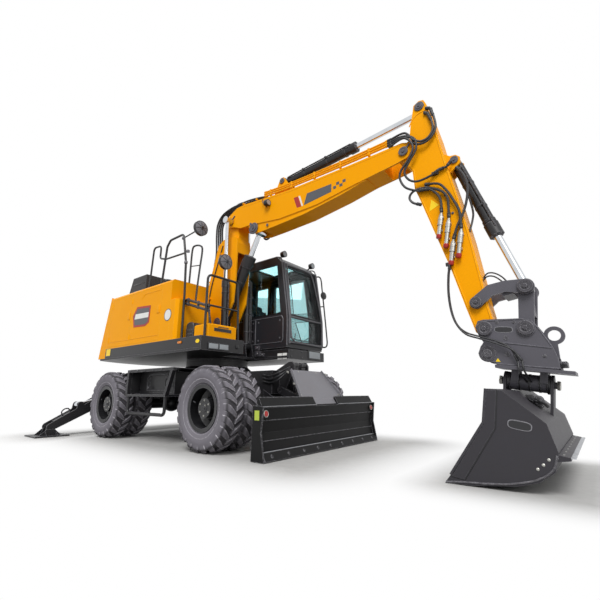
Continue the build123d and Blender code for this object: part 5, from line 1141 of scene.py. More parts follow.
# armrest consoles with their levers, and the screen
leverFoot = [(0.034, 0), (0.03, 0.02), (0.022, 0.024), (0.02, 0.045), (0.012, 0.05)]
leverGrip = [(0.012, 0), (0.021, 0.015), (0.023, 0.05), (0.019, 0.085), (0.012, 0.098), (0, 0.1)]
for y, inner in ((cabMiddle + s * 0.31, cabMiddle + s * 0.3) for s in sides):
    addCuboid((0.315, y, 1.83), (0.33, 0.078, 0.26), 0.018, steps=3)
    addCuboid((0.24, y, 1.985), (0.27, 0.075, 0.045), 0.018, steps=3)
    addCuboid((0.28, inner, 1.58), (0.16, 0.058, 0.24), 0.01)
    addTurned((0.435, y, 1.955), (0, 0, 1), leverFoot, 20)
    addTube([(0.435, y, 1.99), (0.448, y, 2.04)], 0.012)
    addTurned((0.446, y, 2.03), (0.12, 0, 1), leverGrip, 20)
addCuboid((0.66, cabMiddle - 0.36, 2.02), (0.03, 0.2, 0.14), 0.01, spin("Y", -20), 3)
addTube([(0.5, cabMiddle - 0.36, 1.9), (0.6, cabMiddle - 0.36, 1.93), (0.655, cabMiddle - 0.36, 1.97)], 0.012)
keepPiece("consoles", "superstructure", "blackVinyl", sharp=40, node="cab_interior")

# steering column and wheel, pedals
addTurned((0.858, cabMiddle, 1.456), (0, 0, 1), [(0.082, 0), (0.082, 0.012), (0.07, 0.02), (0.05, 0.03),
                                                 (0.045, 0.05)], 28)
addTube([(0.858, cabMiddle, 1.47), (0.83, cabMiddle, 1.66), (0.775, cabMiddle, 1.95)], 0.036, 16)
axis, centre = Vector((-0.447, 0, 0.894)), Vector((0.755, cabMiddle, 2.03))
turn = aim(axis)
addTube([centre + turn @ Vector((*spot, 0)) for spot in around(48, 0.185)], 0.013, 10, closed=True)
for a in (0.5, 2.6, 4.7):
    addTube([centre - axis * 0.01, centre + turn @ Vector((0.183 * math.cos(a), 0.183 * math.sin(a), 0))], 0.009)
addTurned(centre - axis * 0.03, axis, [(0.035, 0), (0.045, 0.012), (0.045, 0.03), (0.036, 0.036), (0, 0.038)], 28)
for y in (cabMiddle + s * 0.1 for s in sides):
    addCuboid((1, y, 1.53), (0.15, 0.075, 0.012), 0.004, spin("Y", -28))
    addTube([(1, y, 1.53), (1.03, y, 1.72)], 0.008)
keepPiece("wheelColumn", "superstructure", "blackVinyl", sharp=40, node="cab_interior")

addCuboid((0.74, cabMiddle, 1.4595), (0.94, 0.8, 0.008), 0.003)
for n in range(14):
    addCuboid((0.55 + n * 0.045, cabMiddle, 1.4645), (0.02, 0.74, 0.004), 0.0015, steps=1)
keepPiece("floorMat", "superstructure", "blackVinyl", sharp=40, node="cab_interior")
print("cab inside ready")


# Boom
boomMiddle = -0.1
# outside radii of the hoses
hoseRadii = dict(boomTop=0.0145, baseBoom=0.017, tower=0.014, foot=0.017, knuckle=0.016, stickEnd=0.0135,
                 stick=0.0138,
                 tip=0.0085, coupler=0.0085, rocker=0.0075, motor=0.0075)


def pair(half):
    # both sides of the boom's middle plane
    return [(s, boomMiddle + s * half) for s in sides]


# pins with their keepers, ring plates and plugs
for s, y in pair(0.174):
    addPinHead((0.5, y, 3.61), (0, s, 0), 0.062, 0.016)
for s, y in pair(0.17):
    addPinHead((3.676, y, 3.593), (0, s, 0), 0.06)
for s, y in pair(0.16):
    addTurned((1.06, y, 3.33), (0, s, 0), [(0.098, 0), (0.098, 0.01), (0.092, 0.014), (0.066, 0.014)], 36)
    addPinHead((1.06, y + s * 0.01, 3.33), (0, s, 0), 0.062, 0.016)
    for x, z in ((0.985, 3.43), (1.37, 3.3)):
        addTurned((x, y, z), (0, s, 0), [(0.024, 0), (0.024, 0.004), (0.016, 0.005), (0.014, 0.002), (0, 0.002)], 20)
    for x, z in ((0.555, 3.68), (3.735, 3.645)):
        addCuboid((x, y + s * 0.006, z), (0.075, 0.012, 0.022), 0.003, Matrix.Rotation(-0.7, 3, "Y"))
        addBolt((x + 0.018, y + s * 0.012, z + 0.016), (0, s, 0), 0.008, 0.006)
for s, y in pair(0.099):
    addPinHead((1.62, y, 4.02), (0, s, 0), 0.048, 0.012)
keepPiece("upperBoomPins", "upper_boom", "anthraciteCasting")

# weld beads along the box and the line where keel meets side plates
for s, y in pair(0.159):
    addTube(inPlane(y, (0.76, 3.815), (1.22, 3.775), (1.84, 3.725), (2.9, 3.7), (3.66, 3.695)), 0.0045, 6)
    addTube(inPlane(y - s * 0.0135, (0.98, 3.415), (1.63, 3.325), (2.33, 3.325), (3.1, 3.42)), 0.007, 6)
keepPiece("upperBoomSeams", "upper_boom", "yellowEnamel")

# film band without letters, with a slash, a stripe and chequers at its ends
for name, finish, points in (("decalBand", "greyFilm", ((2.11, 3.395), (2.6, 3.438), (2.606, 3.56), (2.17, 3.567))),
                             ("decalSlash", "redCap", ((1.978, 3.396), (2.062, 3.393), (2, 3.577), (1.915, 3.583))),
                             ("decalChequers", "whiteFilm", ((2.07, 3.393), (2.096, 3.394), (2.04, 3.575),
                                                             (2.01, 3.577)))):
    for s, y in pair(0.1605):
        addPlate(inPlane(y, *points), (0, s * 0.0012, 0), 0.0004)
    keepPiece(name, "upper_boom", finish)
for s, y in pair(0.1605):
    for row, column in ((0, 0), (0, 2), (1, 1), (1, 3)):
        x, z = 2.632 + column * 0.052, 3.462 + row * 0.046
        addPlate(inPlane(y, (x, z), (x + 0.05, z - 0.001), (x + 0.05, z + 0.043), (x, z + 0.044)), (0, s * 0.0012, 0),
                 0.0003)
keepPiece("decalSquares", "upper_boom", "greyFilm")

# hoses over the bend of the boom, from the knuckle to the ends of the rigid pipes
for k in range(3):
    y = -0.216 + 0.034 * k
    addHose(inPlane(y, (0.66, 3.925 - 0.012 * k), (0.85, 3.922 - 0.012 * k), (1.08, 3.892 - 0.012 * k),
                    (1.3, 3.848 - 0.004 * k)),
            hoseRadii["boomTop"], 6)
keepPiece("boomTopHoses", "upper_boom", "hoseRubber")

# rigid pipes along the top edge of the boom, stacked in their clamps
boomTop = [(1.3, 3.813), (1.58, 3.792), (1.85, 3.776), (2.45, 3.76), (2.95, 3.752), (3.25, 3.752), (3.46, 3.755)]
pipeRows = [(-0.2445, 0.026), (-0.2445, 0.062), (-0.242, 0.097)]
for y, lift in pipeRows:
    addTube(softCurve([(x, y, z + lift) for x, z in boomTop], 6), 0.0145, 10)
    for x, z in (boomTop[0], boomTop[-1]):
        addTurned((x - 0.02, y, z + lift), (1, 0, 0), [(0, 0), (0.019, 0), (0.019, 0.04), (0, 0.04)], 6)
addTube(softCurve(inPlane(0.072, (0.62, 3.74), (0.9, 3.7), (1.45, 3.655), (2.1, 3.672), (2.9, 3.655), (3.45, 3.64)),
                  8), 0.008)
keepPiece("boomPipes", "upper_boom", "yellowEnamel")
for x, z in ((1.42, 3.803), (1.86, 3.775), (2.3, 3.763), (2.75, 3.754), (3.2, 3.751)):
    addCuboid((x, -0.212, z + 0.004), (0.036, 0.085, 0.012), 0.003)
    for y, lift in pipeRows:
        addCuboid((x, y, z + lift), (0.03, 0.034, 0.034), 0.004)
    addCuboid((x, -0.228, z + 0.052), (0.016, 0.012, 0.096), 0.003)
    addBolt((x, -0.262, z + 0.062), outward, 0.006, 0.006)
for x, z in ((0.76, 3.862), (1.08, 3.838)):
    addCuboid((x, -0.182, z + 0.028), (0.026, 0.125, 0.03), 0.004)
for x, z in ((0.78, 3.715), (1.3, 3.668), (1.95, 3.671), (2.62, 3.668), (3.25, 3.652)):
    addCuboid((x, 0.069, z), (0.024, 0.018, 0.034), 0.003)
keepPiece("boomClamps", "upper_boom", "yellowEnamel")

# work lamps: shells round the plain lamps, brackets and cables
workLampBody = [(0, -0.014), (0.03, -0.012), (0.046, 0), (0.0505, 0.022), (0.0515, 0.068), (0.0515, 0.084),
                (0.046, 0.087), (0.043, 0.08)]
for s, y in pair(0.208):
    addTurned((1.352, y, 3.66), (1, 0, 0), workLampBody, 28)
    addCuboid((1.345, y - s * 0.04, 3.66), (0.03, 0.02, 0.07), 0.003)
    addTube(softCurve([(1.345, y, 3.672), (1.29, y - s * 0.012, 3.7), (1.26, y - s * 0.03, 3.76),
                       (1.25, y - s * 0.045, 3.8)], 5),
            0.005, 6)
keepPiece("workLamps", "upper_boom", "blackEnamel")
for s, y in pair(0.208):
    addTurned((1.352, y, 3.66), (1, 0, 0), [(0.045, 0.0785), (0.042, 0.083), (0, 0.087)], 26)
keepPiece("workLampLenses", "upper_boom", "clearLens")

# thick hoses up the rear face of the lower boom, held by clamps, and pipes on its side
for k in range(4):
    addHose(inPlane(-0.19 + 0.055 * k, (-0.12, 1.93), (-0.128, 2.2), (-0.118, 2.5), (-0.03, 2.76), (0.03, 2.98)),
            hoseRadii["baseBoom"], 6)
for s, y in pair(0.162):
    addTube(softCurve(inPlane(y, (0.02, 1.98), (0.02, 2.4), (0.2, 2.95), (0.3, 3.22)), 8), 0.009)
keepPiece("baseBoomHoses", "base_boom", "hoseRubber")
for x, z, lean in ((-0.1005, 2.15, 0.05), (-0.058, 2.62, 0.34), (0.075, 2.99, 0.34)):
    addCuboid((x, -0.1075, z), (0.05, 0.235, 0.03), 0.004, Matrix.Rotation(lean, 3, "Y"))
for x, z in ((0.03, 2.3), (0.11, 2.7), (0.25, 3.08)):
    for s, y in pair(0.158):
        addCuboid((x, y, z), (0.03, 0.02, 0.04), 0.004)
keepPiece("baseBoomClamps", "base_boom", "yellowEnamel")
for s, y in pair(0.15):
    addPinHead((0.235, y, 1.85), (0, s, 0), 0.056, 0.012)
    addTurned((0.235, y, 1.85), (0, s, 0), [(0.085, 0), (0.085, 0.006), (0.08, 0.009), (0.056, 0.009)], 32)
keepPiece("baseBoomPins", "base_boom", "anthraciteCasting")

for s in sides:
    addPinHead((0.075, boomMiddle + s * 0.198, 1.635), (0, s, 0), 0.066, 0.016)
    addPinHead((0.55, boomMiddle + s * 0.333, 1.45), (0, s, 0), 0.05)
keepPiece("towerPins", "superstructure", "anthraciteCasting")
# hoses that rise out of the deck between the boom tower and the toolbox side
for k in range(5):
    y, dx = -0.532 + 0.022 * k, 0.02 * k
    addHose([(0.8 + dx, y, 1.3), (0.86 + dx, y, 1.4), (0.8, y, 1.5), (0.66, y + 0.005, 1.44), (0.6, y + 0.008, 1.3)],
            hoseRadii["tower"], 6)
keepPiece("towerHoses", "superstructure", "hoseRubber")


def addCylinderTrim(foot, eye, end, barrel, head, rod, eyeHalf, eyeRadius):
    # gland ring, bands, pipe and eye faces of one cylinder in the boom's plane
    a, b = Vector((foot[0], boomMiddle, foot[1])), Vector((eye[0], boomMiddle, eye[1]))
    way = (b - a).normalized()
    up = Vector((-way.z, 0, way.x))
    up = up if up.z > 0 else -up
    lift = (up * 0.45 + Vector((0, -0.89, 0))).normalized()
    run = barrel + 0.016
    pipe = [(0.13, barrel + 0.002), (0.17, run), (end - 0.16, run), (end - 0.1, head + 0.004)]
    addTube(softCurve([a + way * along + lift * out for along, out in pipe], 6), 0.011)
    gland = [(head, -0.006), (head + 0.001, -0.003), (head * 0.93, 0.003), (rod * 1.35, 0.005), (rod * 1.25, 0.014),
             (rod + 0.001, 0.016)]
    addTurned(a + way * end, way, gland, 36)
    addTurned(a + way * (end - 0.2), way, [(barrel, -0.004), (barrel + 0.007, 0), (barrel + 0.007, 0.028),
                                           (barrel, 0.032)], 36)
    for t in (0.3, 0.62):
        addTurned(a + way * end * t, way, [(barrel, 0), (barrel + 0.004, 0.002), (barrel + 0.004, 0.02),
                                           (barrel, 0.022)], 32)
        addCuboid(a + way * (end * t + 0.01) + lift * run, (0.03, 0.03, 0.028), 0.004)
    for c, s in around(8):
        addBolt(a + way * (end + 0.001) + (up * c + Vector((0, s, 0))) * head * 0.8, way, 0.008, 0.007)
    for s, y in pair(eyeHalf):
        rings = [(eyeRadius * 0.98, -0.002), (eyeRadius * 0.98, 0.002), (eyeRadius * 0.9, 0.003),
                 (eyeRadius * 0.62, 0.003)]
        addTurned((foot[0], y, foot[1]), (0, s, 0), rings, 30)


for name, rider, *sizes in (
        # foot, eye, end and radius of the barrel, radii of head and rod, half width and radius of the foot's eye
        ("adjustTrim", "adjust_barrel", (0.235, 1.85), (1.06, 3.33), 1.24, 0.082, 0.104, 0.044, 0.084, 0.08),
        ("stickCylinderTrim", "stick_barrel", (1.62, 4.02), (3.904, 4.153), 1.33, 0.063, 0.076, 0.04, 0.065, 0.068),
        ("bucketCylinderTrim", "bucket_barrel", (4.228, 3.272), (4.735, 1.672), 1.03, 0.06, 0.074, 0.038, 0.062,
         0.054)):
    addCylinderTrim(*sizes)
    keepPiece(name, rider, "charcoalEnamel")

for name, rider, (x, z), half, eye, pin in (
        # bushing faces and pin at the rod's eye
        ("stickRodTrim", "stick_rod", (3.904, 4.153), 0.065, 0.068, 0.036),
        ("bucketRodTrim", "bucket_rod", (4.735, 1.672), 0.062, 0.054, 0.03)):
    for s, y in pair(half):
        rings = [(eye * 0.97, -0.001), (eye * 0.97, 0.002), (eye * 0.86, 0.003), (pin, 0.003), (pin, 0.006),
                 (0, 0.006)]
        addTurned((x, y, z), (0, s, 0), rings, 32)
    keepPiece(name, rider, "zincPlate")

# steel pipe along each lift barrel from its foot to the gland, with bands and bolts
foot, top = Vector((0.55, 0, 1.45)), Vector((0.5, 0, 3.61))
way = (top - foot).normalized()
out = Vector((way.z, 0, -way.x))
for s, y in pair(0.245):
    base = Vector((0, y, 0)) + foot
    pipe = [(0.1, 0.058), (0.13, 0.076), (0.95, 0.078), (0.985, 0.064)]
    addTube(softCurve([base + way * along + out * lift for along, lift in pipe], 6), 0.01)
    for t in (0.25, 0.55, 0.85):
        addTurned(base + way * (t - 0.012), way, [(0.0575, 0), (0.062, 0.003), (0.062, 0.022), (0.0575, 0.025)], 28)
        addCuboid(base + way * t + out * 0.075, (0.03, 0.026, 0.028), 0.004)
    for c, rise in around(6, 0.052, 0.3):
        addBolt(base + way * 1.0605 + Vector((0, c, 0)) + out * rise, way, 0.007, 0.006)
    addTurned(base + way * 1.06, way, [(0.066, -0.004), (0.067, 0), (0.06, 0.004), (0.044, 0.006), (0.04, 0.012)], 32)
keepPiece("liftPipes", "lift_barrels", "charcoalEnamel")

footRows = [[(-0.34 - 0.05 * k, -0.29, 1.285), (-0.33 - 0.05 * k, -0.23 + 0.03 * k, 1.55),
             (-0.25 - 0.02 * k, -0.17 + 0.04 * k, 1.8),
             (-0.12, -0.155 + 0.055 * k, 1.93)] for k in range(3)]
bendingHose("footHoses", footRows,
            hoseRadii["foot"])
knuckleRows = [[(0.03, -0.19 + 0.055 * k, 2.98), (0.05, -0.2 + 0.05 * k, 3.2), (0.042, -0.212 + 0.045 * k, 3.48),
                (0.062, -0.216 + 0.04 * k, 3.7), (0.18, -0.216 + 0.036 * k, 3.85), (0.4, -0.216 + 0.034 * k, 3.915),
                (0.66, -0.216 + 0.034 * k, 3.925 - 0.012 * k)] for k in range(4)]
bendingHose("knuckleHoses", knuckleRows,
            hoseRadii["knuckle"])
stickRows = [
    [(3.47, -0.2445, 3.781), (3.666, -0.292, 3.77), (3.775, -0.3, 3.679), (3.81, -0.305, 3.551),
     (3.733, -0.305, 3.414),
     (3.64, -0.3, 3.318), (3.617, -0.29, 3.218), (3.676, -0.28, 3.088), (3.811, -0.268, 3.002),
     (3.884, -0.262, 2.994)],
    [(3.47, -0.2445, 3.817), (3.68, -0.275, 3.8), (3.828, -0.29, 3.692), (3.845, -0.295, 3.541),
     (3.755, -0.295, 3.41),
     (3.68, -0.29, 3.295), (3.716, -0.28, 3.184), (3.816, -0.272, 3.122), (3.965, -0.262, 3.137),
     (4.07, -0.256, 3.18)],
    [(3.47, -0.242, 3.852), (3.7, -0.262, 3.845), (3.8, -0.275, 3.7), (3.826, -0.28, 3.623), (3.922, -0.275, 3.59),
     (4.01, -0.268, 3.622), (4.082, -0.26, 3.732), (4.075, -0.252, 3.884), (4.05, -0.242, 3.982)],
    [(3.49, -0.252, 3.742), (3.66, -0.288, 3.76), (3.78, -0.29, 3.73), (3.819, -0.295, 3.676), (3.902, -0.288, 3.619),
     (3.99, -0.275, 3.636), (4.05, -0.265, 3.724), (4.044, -0.256, 3.85), (4.02, -0.242, 3.935)],
]
bendingHose("stickHoses", stickRows,
            hoseRadii["stickEnd"])
print("boom ready")


# Stick: folded edges of the side plates, weld beads and rings
front = [(4.43, 1.3), (4.42, 1.4), (4.395, 1.56), (4.365, 1.84), (4.31, 2.3), (4.23, 2.8), (4.15, 3.23), (4.08, 3.69),
         (3.985, 4.16)]
rear = [(3.64, 3.7), (3.57, 3.62), (3.58, 3.52), (3.66, 3.47), (3.755, 3.3), (3.765, 3.06), (3.805, 2.94),
        (4.08, 1.99), (4.19, 1.54),
        (4.255, 1.29)]
for s, y in pair(0.125):
    addTube([(x - 0.016, y, z) for x, z in front], 0.006, 6)
    addTube([(x + 0.018, y, z) for x, z in rear], 0.006, 6)
    addTube(softCurve(inPlane(y, (3.76, 3.93), (3.795, 3.991), (3.856, 4.045), (3.948, 4.062), (4.01, 4.054)), 6),
            0.007, 6)
    addTurned((3.676, y, 3.593), (0, s, 0), [(0.098, 0), (0.098, 0.004), (0.094, 0.006), (0.064, 0.006)], 36)
keepPiece("stickRibs", "stick", "yellowEnamel")
for s in sides:
    addTurned((3.904, boomMiddle + s * 0.125, 4.153), (0, s, 0),
              [(0.06, 0), (0.06, 0.012), (0.054, 0.016), (0.04, 0.016)], 30)
    addPinHead((3.904, boomMiddle + s * 0.135, 4.153), (0, s, 0), 0.04)
    addPinHead((4.228, boomMiddle + s * 0.098, 3.272), (0, s, 0), 0.046, 0.012)
    for x, z in ((4.16, 2.62), (4.1, 2.86)):
        addBolt((x, boomMiddle + s * 0.1255, z), (0, s, 0), 0.01, 0.008)
keepPiece("stickPins", "stick", "anthraciteCasting")

# screw couplings on the stick: top of each, in the plane of the hoses, and its length
couplingSpec = [((4.051, 2.641), 0.25), ((4.124, 2.554), 0.29), ((4.147, 2.297), 0.235), ((4.237, 2.394), 0.27)]
way = Vector((-0.19, 0, -0.98)).normalized()
for (x, z), long in couplingSpec:
    base = Vector((x, -0.262, z))
    addTurned(base, way, [(0, 0), (0.014, 0), (0.014, 0.02), (0.023, 0.024), (0.023, 0.065), (0.028, 0.068),
                          (0.028, long * 0.55),
                          (0.022, long * 0.58), (0.022, long), (0, long)], 20)
    addTurned(base + way * 0.045, way, [(0.026, 0), (0.026, 0.018), (0.022, 0.02)], 6)
    for t in (0.3, 0.52):
        addTurned(base + way * long * t, way, [(0.028, 0), (0.0305, 0.002), (0.0305, 0.012), (0.028, 0.014)], 20)
    for t in (0.2, 0.8):
        spot = base + way * long * t
        addCuboid((spot.x, -0.236, spot.z), (0.05, 0.028, 0.026), 0.004)
keepPiece("couplings", "stick", "zincPlate")
for (x, z), long in couplingSpec:
    cap = [(0.024, 0), (0.029, 0.004), (0.029, 0.038), (0.024, 0.046), (0, 0.048)]
    addTurned(Vector((x, -0.262, z)) + way * long, way, cap, 20)
keepPiece("couplingCaps", "stick", "redCap")

for run in (
        inPlane(-0.262, (3.884, 2.994), (3.96, 2.966), (4.033, 2.872), (4.059, 2.774), (4.052, 2.65)),
        [(3.89, -0.252, 3.02), *inPlane(-0.262, (4.001, 2.962), (4.093, 2.883), (4.134, 2.781), (4.126, 2.565))],
        [(3.9, -0.256, 3.056), *inPlane(-0.262, (4.049, 3.006), (4.128, 2.898), (4.19, 2.756), (4.238, 2.6),
                                        (4.238, 2.405))],
        [(4.253, -0.24, 3.144), *inPlane(-0.256, (4.317, 3.029), (4.346, 2.887), (4.326, 2.724)),
         (4.274, -0.258, 2.574),
         (4.2, -0.262, 2.44), (4.15, -0.262, 2.305)],
        [(3.88, -0.25, 3.014), *inPlane(-0.256, (3.8, 3.028), (3.728, 3), (3.704, 2.94), (3.745, 2.872)),
         (3.83, -0.242, 2.826)],
        [(4.07, -0.256, 3.18), (4.15, -0.25, 3.19), (4.205, -0.242, 3.24)],
        [(4.05, -0.242, 3.982), (4.04, -0.24, 4.04), (3.985, -0.24, 4.075)],
        [(4.02, -0.242, 3.935), (4, -0.24, 3.99), (3.96, -0.24, 4.02)]):
    addHose(run, hoseRadii["stick"])
addTube(softCurve([(4.335, -0.19, 2.78), (4.349, -0.15, 2.61), (4.333, -0.15, 2.509), (4.3, -0.19, 2.37)], 8), 0.011)
addTube(softCurve(inPlane(0.037, (3.9, 3.3), (3.98, 2.9), (4.12, 2.4), (4.22, 1.9), (4.28, 1.6)), 8), 0.012)
keepPiece("stickHosesFixed", "stick", "hoseRubber")
for x, z in ((3.884, 3.012), (4.02, 3.16), (4.075, 2.04)):
    addCuboid((x, -0.242, z), (0.075, 0.036, 0.04), 0.006)
    addBolt((x, -0.26, z), outward, 0.008, 0.007)
for x, z in ((3.95, 3.02), (4.1, 2.48), (4.2, 2.02)):
    addCuboid((x, 0.035, z), (0.05, 0.03, 0.03), 0.005)
keepPiece("stickClamps", "stick", "blackEnamel")
addPlate(inPlane(-0.2256, (3.91, 2.719), (4.024, 2.766), (3.943, 2.858)), (0, -0.0014, 0), 0.0004)
keepPiece("stickSign", "stick", "yellowFilm")


# Coupler, rocker, link
for s in sides:
    out = (0, s, 0)
    addPinHead((4.344, boomMiddle + s * 0.179, 1.31), out, 0.07, 0.016)
    addPinHead((4.689, boomMiddle + s * 0.179, 1.28), out, 0.068, 0.016)
    rings = [(0.076, 0), (0.076, 0.004), (0.07, 0.008), (0.052, 0.008), (0.048, 0.003), (0.044, 0.003)]
    addTurned((4.344, boomMiddle + s * 0.165, 1.068), out, rings, 32)
    addPinHead((4.344, boomMiddle + s * 0.177, 1.068), out, 0.04, 0.008)
    y = boomMiddle + s * 0.1652
    for x, z in ((4.518, 1.203), (4.513, 1.05)):
        addTurned((x, y, z), out, [(0.022, 0), (0.022, 0.003), (0.014, 0.004), (0.012, 0.001), (0, 0.001)], 22)
    for x, z in ((4.46, 1.36), (4.6, 1.345), (4.8, 1.02), (4.62, 0.985)):
        addBolt((x, y, z), out, 0.01, 0.008)
keepPiece("couplerPins", "coupler", "pinSteel")

# folded edge across each side plate and weld beads along the base
for s, y in pair(0.1655):
    addTube(inPlane(y, (4.4, 1.175), (4.62, 1.135), (4.86, 1.085)), 0.006, 6)
    addTube(inPlane(y, (4.41, 0.968), (4.62, 0.94), (4.89, 0.905)), 0.008, 6)
    addTube(inPlane(y, (4.3, 1.385), (4.66, 1.368), (4.738, 1.345), (4.795, 1.248), (4.858, 1.11)), 0.005, 6)
keepPiece("couplerFolds", "coupler", "anthraciteCasting")

# blank oval plate: light rim round a dark field
for s, y in pair(0.1652):
    addOval((4.506, y, 1.284), 0.08, 0.03, (0.98, -0.12), s, 0.0018)
keepPiece("couplerSigns", "coupler", "greyPlate")
for s, y in pair(0.167):
    addOval((4.506, y, 1.284), 0.073, 0.024, (0.98, -0.12), s, 0.0012)
keepPiece("couplerSignField", "coupler", "blackVinyl")
for s, y in pair(0.1654):
    addPlate(inPlane(y, (4.405, 0.99), (4.447, 0.985), (4.428, 1.02)), (0, s * 0.0014, 0), 0.0004)
keepPiece("couplerTriangle", "coupler", "yellowFilm")

# valve block and short hoses between the side plates
addCuboid((4.9, boomMiddle, 0.945), (0.1, 0.2, 0.05), 0.006)
plug = [(0.01, 0), (0.014, 0.002), (0.014, 0.018), (0.01, 0.02), (0.01, 0.03), (0, 0.03)]
for x in (4.87, 4.9, 4.93):
    addTurned((x, -0.195, 0.955), outward, plug, 6)
keepPiece("couplerBlock", "coupler", "charcoalEnamel")
for k, x in enumerate((4.594, 4.63)):
    run = [(x, -0.302 - 0.016 * k, 0.985), (x + 0.005, -0.325, 0.9), (x + 0.02, -0.24, 0.84), (x + 0.03, -0.175, 0.8)]
    addTube(softCurve(run, 7), hoseRadii["coupler"])
keepPiece("couplerHoses", "coupler", "hoseRubber")
for s in sides:
    addPinHead((4.295, boomMiddle + s * 0.169, 1.582), (0, s, 0), 0.056)
    addPinHead((4.735, boomMiddle + s * 0.173, 1.672), (0, s, 0), 0.066, 0.016)
keepPiece("rockerPins", "rocker", "pinSteel")

# thin hoses across the joints at the stick's end
tipRows = [[(4.083, -0.244 - 0.03 * k, 2.03), (4.058, -0.25 - 0.03 * k, 1.899), (4.043, -0.255 - 0.03 * k, 1.706),
            (4.057, -0.262 - 0.03 * k, 1.513), (4.1, -0.272 - 0.03 * k, 1.372),
            (4.18, -0.285 - 0.02 * k, 1.286 - 0.02 * k),
            (4.298, -0.3 - 0.016 * k, 1.234 - 0.022 * k), (4.447, -0.304 - 0.016 * k, 1.174 - 0.024 * k),
            (4.545 + 0.02 * k, -0.304 - 0.016 * k, 1.105 - 0.02 * k),
            (4.594 + 0.036 * k, -0.302 - 0.016 * k, 0.985)] for k in range(2)]
bendingHose("tipHoses", tipRows,
            hoseRadii["tip"])
loopRows = [inPlane(-0.13, (4.35, 1.8), (4.366, 1.852), (4.405, 1.896), (4.46, 1.892), (4.518, 1.852), (4.562, 1.795),
                    (4.588, 1.73),
                    (4.596, 1.64)),
            inPlane(-0.16, (4.343, 1.765), (4.366, 1.82), (4.408, 1.856), (4.462, 1.848), (4.512, 1.806),
                    (4.55, 1.748), (4.57, 1.64))]
bendingHose("rockerLoops", loopRows,
            hoseRadii["rocker"])


# Tilt unit: flanges, bolt rings and bands of the actuator, and its end nuts
turn = math.radians(-8)
way, up = Vector((math.cos(turn), 0, math.sin(turn))), Vector((-math.sin(turn), 0, math.cos(turn)))
base = Vector((4.65, boomMiddle, 0.792))
for t, s in ((-0.185, -1), (0.145, 1)):
    addTurned(base + way * t, way * s, [(0.078, -0.022), (0.086, -0.018), (0.086, 0.002), (0.078, 0.007),
                                        (0.04, 0.007)], 40)
    for c, side in around(10, 0.064):
        addBolt(base + way * (t + s * 0.003) + up * c + Vector((0, side, 0)), way * s, 0.006, 0.005)
for t in (-0.1, -0.02, 0.06):
    addTurned(base + way * t, way, [(0.076, 0), (0.08, 0.002), (0.08, 0.018), (0.076, 0.02)], 36)
keepPiece("tiltTrim", "coupler", "charcoalEnamel")
for t, s in ((-0.2375, -1), (0.1975, 1)):
    addTurned(base + way * t, way * s, [(0.03, 0), (0.046, 0), (0.046, 0.02), (0.04, 0.026), (0, 0.026)], 6)
keepPiece("tiltNuts", "coupler", "zincPlate")

# Bucket: bright cutting lip along the mouth and saw-toothed heel blade
bucketSpec = dict(low=-0.895, high=0.695, teeth=20, bolts=9, firstBolt=-0.82, boltPitch=0.18,
                  walls=((-1, -0.9), (1, 0.7)))
low, high, teeth = [bucketSpec[key] for key in ("low", "high", "teeth")]
addPlate([(4.046, low, 0.006), (4.046, high, 0.006), (4.14, high, 0.0075), (4.14, low, 0.0075)], (0, 0, -0.004),
         0.0015)
step = (high - low) / teeth
tooth = [(4.9, 0.12, 0.262), (4.944, 0.3, 0.263), (4.944, 0.66, 0.263), (4.9, 0.84, 0.262)]
row = [(x, low + n * step + step * share, z) for n in range(teeth) for x, share, z in tooth]
addPlate([(4.835, low, 0.258), *row, (4.835, high, 0.258)], (0, 0, 0.009), 0)
keepPiece("bucketLip", "bucket", "wornSteel")

# side edge plates and wear strips under the floor; a dark tube along the fold as painted shade, and the rounded edge
# of the side wall, rubbed and with painted highlight
walls = bucketSpec["walls"]
for s, y in walls:
    addPlate(inPlane(y, (4.108, 0.06), (4.392, 0.472), (4.437, 0.728), (4.505, 0.722), (4.462, 0.44), (4.2, 0.045)),
             (0, s * 0.008, 0), 0.002)
    addTube(inPlane(y, (4.43, 0.738), (4.385, 0.48), (4.1, 0.07)), 0.012)
for y in (-0.62, -0.1, 0.42):
    addPlate([(4.3, y - 0.03, 0.006), (4.3, y + 0.03, 0.006), (4.56, y + 0.03, 0.041), (4.56, y - 0.03, 0.041)],
             (0, 0, -0.004), 0.001)
keepPiece("bucketTrim", "bucket", "bucketPlate")
# near-black tube along the fold: painted shade
for s, y in walls:
    addTube(inPlane(y, (4.508, 0.722), (4.466, 0.44), (4.204, 0.046)), 0.007, 6)
keepPiece("bucketCrease", "bucket", "blackVinyl")
for s, y in walls:
    addTube(softCurve(inPlane(y, (4.06, 0.012), (4.2, 0.026), (4.4, 0.04), (4.55, 0.062), (4.7, 0.108), (4.8, 0.18),
                              (4.838, 0.28)), 5),
            0.008)
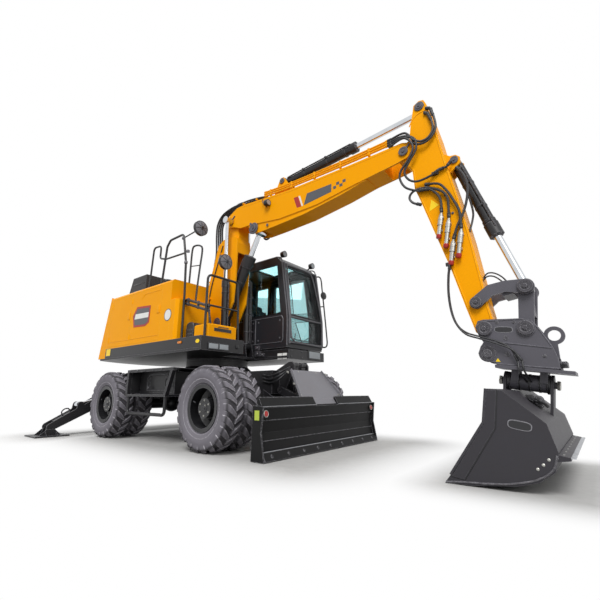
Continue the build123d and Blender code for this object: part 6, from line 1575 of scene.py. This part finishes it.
keepPiece("bucketRim", "bucket", "pinSteel")

# small hydraulic motor with its block behind the tilt actuator
motor = [(0, 0), (0.03, 0), (0.036, 0.006), (0.036, 0.034), (0.042, 0.036), (0.042, 0.052), (0.034, 0.054),
         (0.034, 0.118),
         (0.04, 0.12), (0.04, 0.134), (0.026, 0.14), (0, 0.14)]
addTurned((4.7, -0.17, 0.64), outward, motor, 26)
addCuboid((4.64, -0.24, 0.66), (0.06, 0.09, 0.06), 0.006)
for y in (-0.2, -0.28):
    addCuboid((4.7, y, 0.598), (0.06, 0.02, 0.034), 0.004, spin("Y", 42))
for x, z in ((4.726, 0.64), (4.687, 0.662), (4.687, 0.618)):
    addBolt((x, -0.3105, z), outward, 0.006, 0.006)
keepPiece("bucketMotor", "bucket", "charcoalEnamel")
for k in range(3):
    addHose([(4.632 + 0.02 * k, -0.285, 0.655), (4.66 + 0.03 * k, -0.345 - 0.015 * k, 0.64),
             (4.745 + 0.01 * k, -0.33, 0.612),
             (4.76, -0.245 + 0.02 * k, 0.588)], hoseRadii["motor"], 6)
keepPiece("bucketMotorHoses", "bucket", "hoseRubber")

for n in range(bucketSpec["bolts"]):
    addBolt((4.87, bucketSpec["firstBolt"] + n * bucketSpec["boltPitch"], 0.271), (0, 0, 1), 0.01, 0.008)
for s, y in walls:
    for x, z in ((4.71, 0.178), (4.748, 0.21), (4.786, 0.248)):
        addTurned((x, y, z), (0, s, 0), [(0.0105, -0.002), (0.0105, 0.003), (0.008, 0.005), (0, 0.006)], 18)
keepPiece("bucketBolts", "bucket", "zincPlate")

# blank oval plate on the side wall: light rim, dark field
for name, finish, slot, lift, long, high, thick in (("bucketOval", "greyPlate", None, 0.0005, 0.08, 0.034, 0.002),
                                                    ("bucketOvalField", "blackVinyl", "grey_cover", 0.0022, 0.073,
                                                     0.028, 0.0012)):
    for s, y in walls:
        addOval((4.633, y + s * lift, 0.47), long, high, (0.985, -0.17), s, thick)
    keepPiece(name, "bucket", finish)
print("stick, coupler and bucket ready")
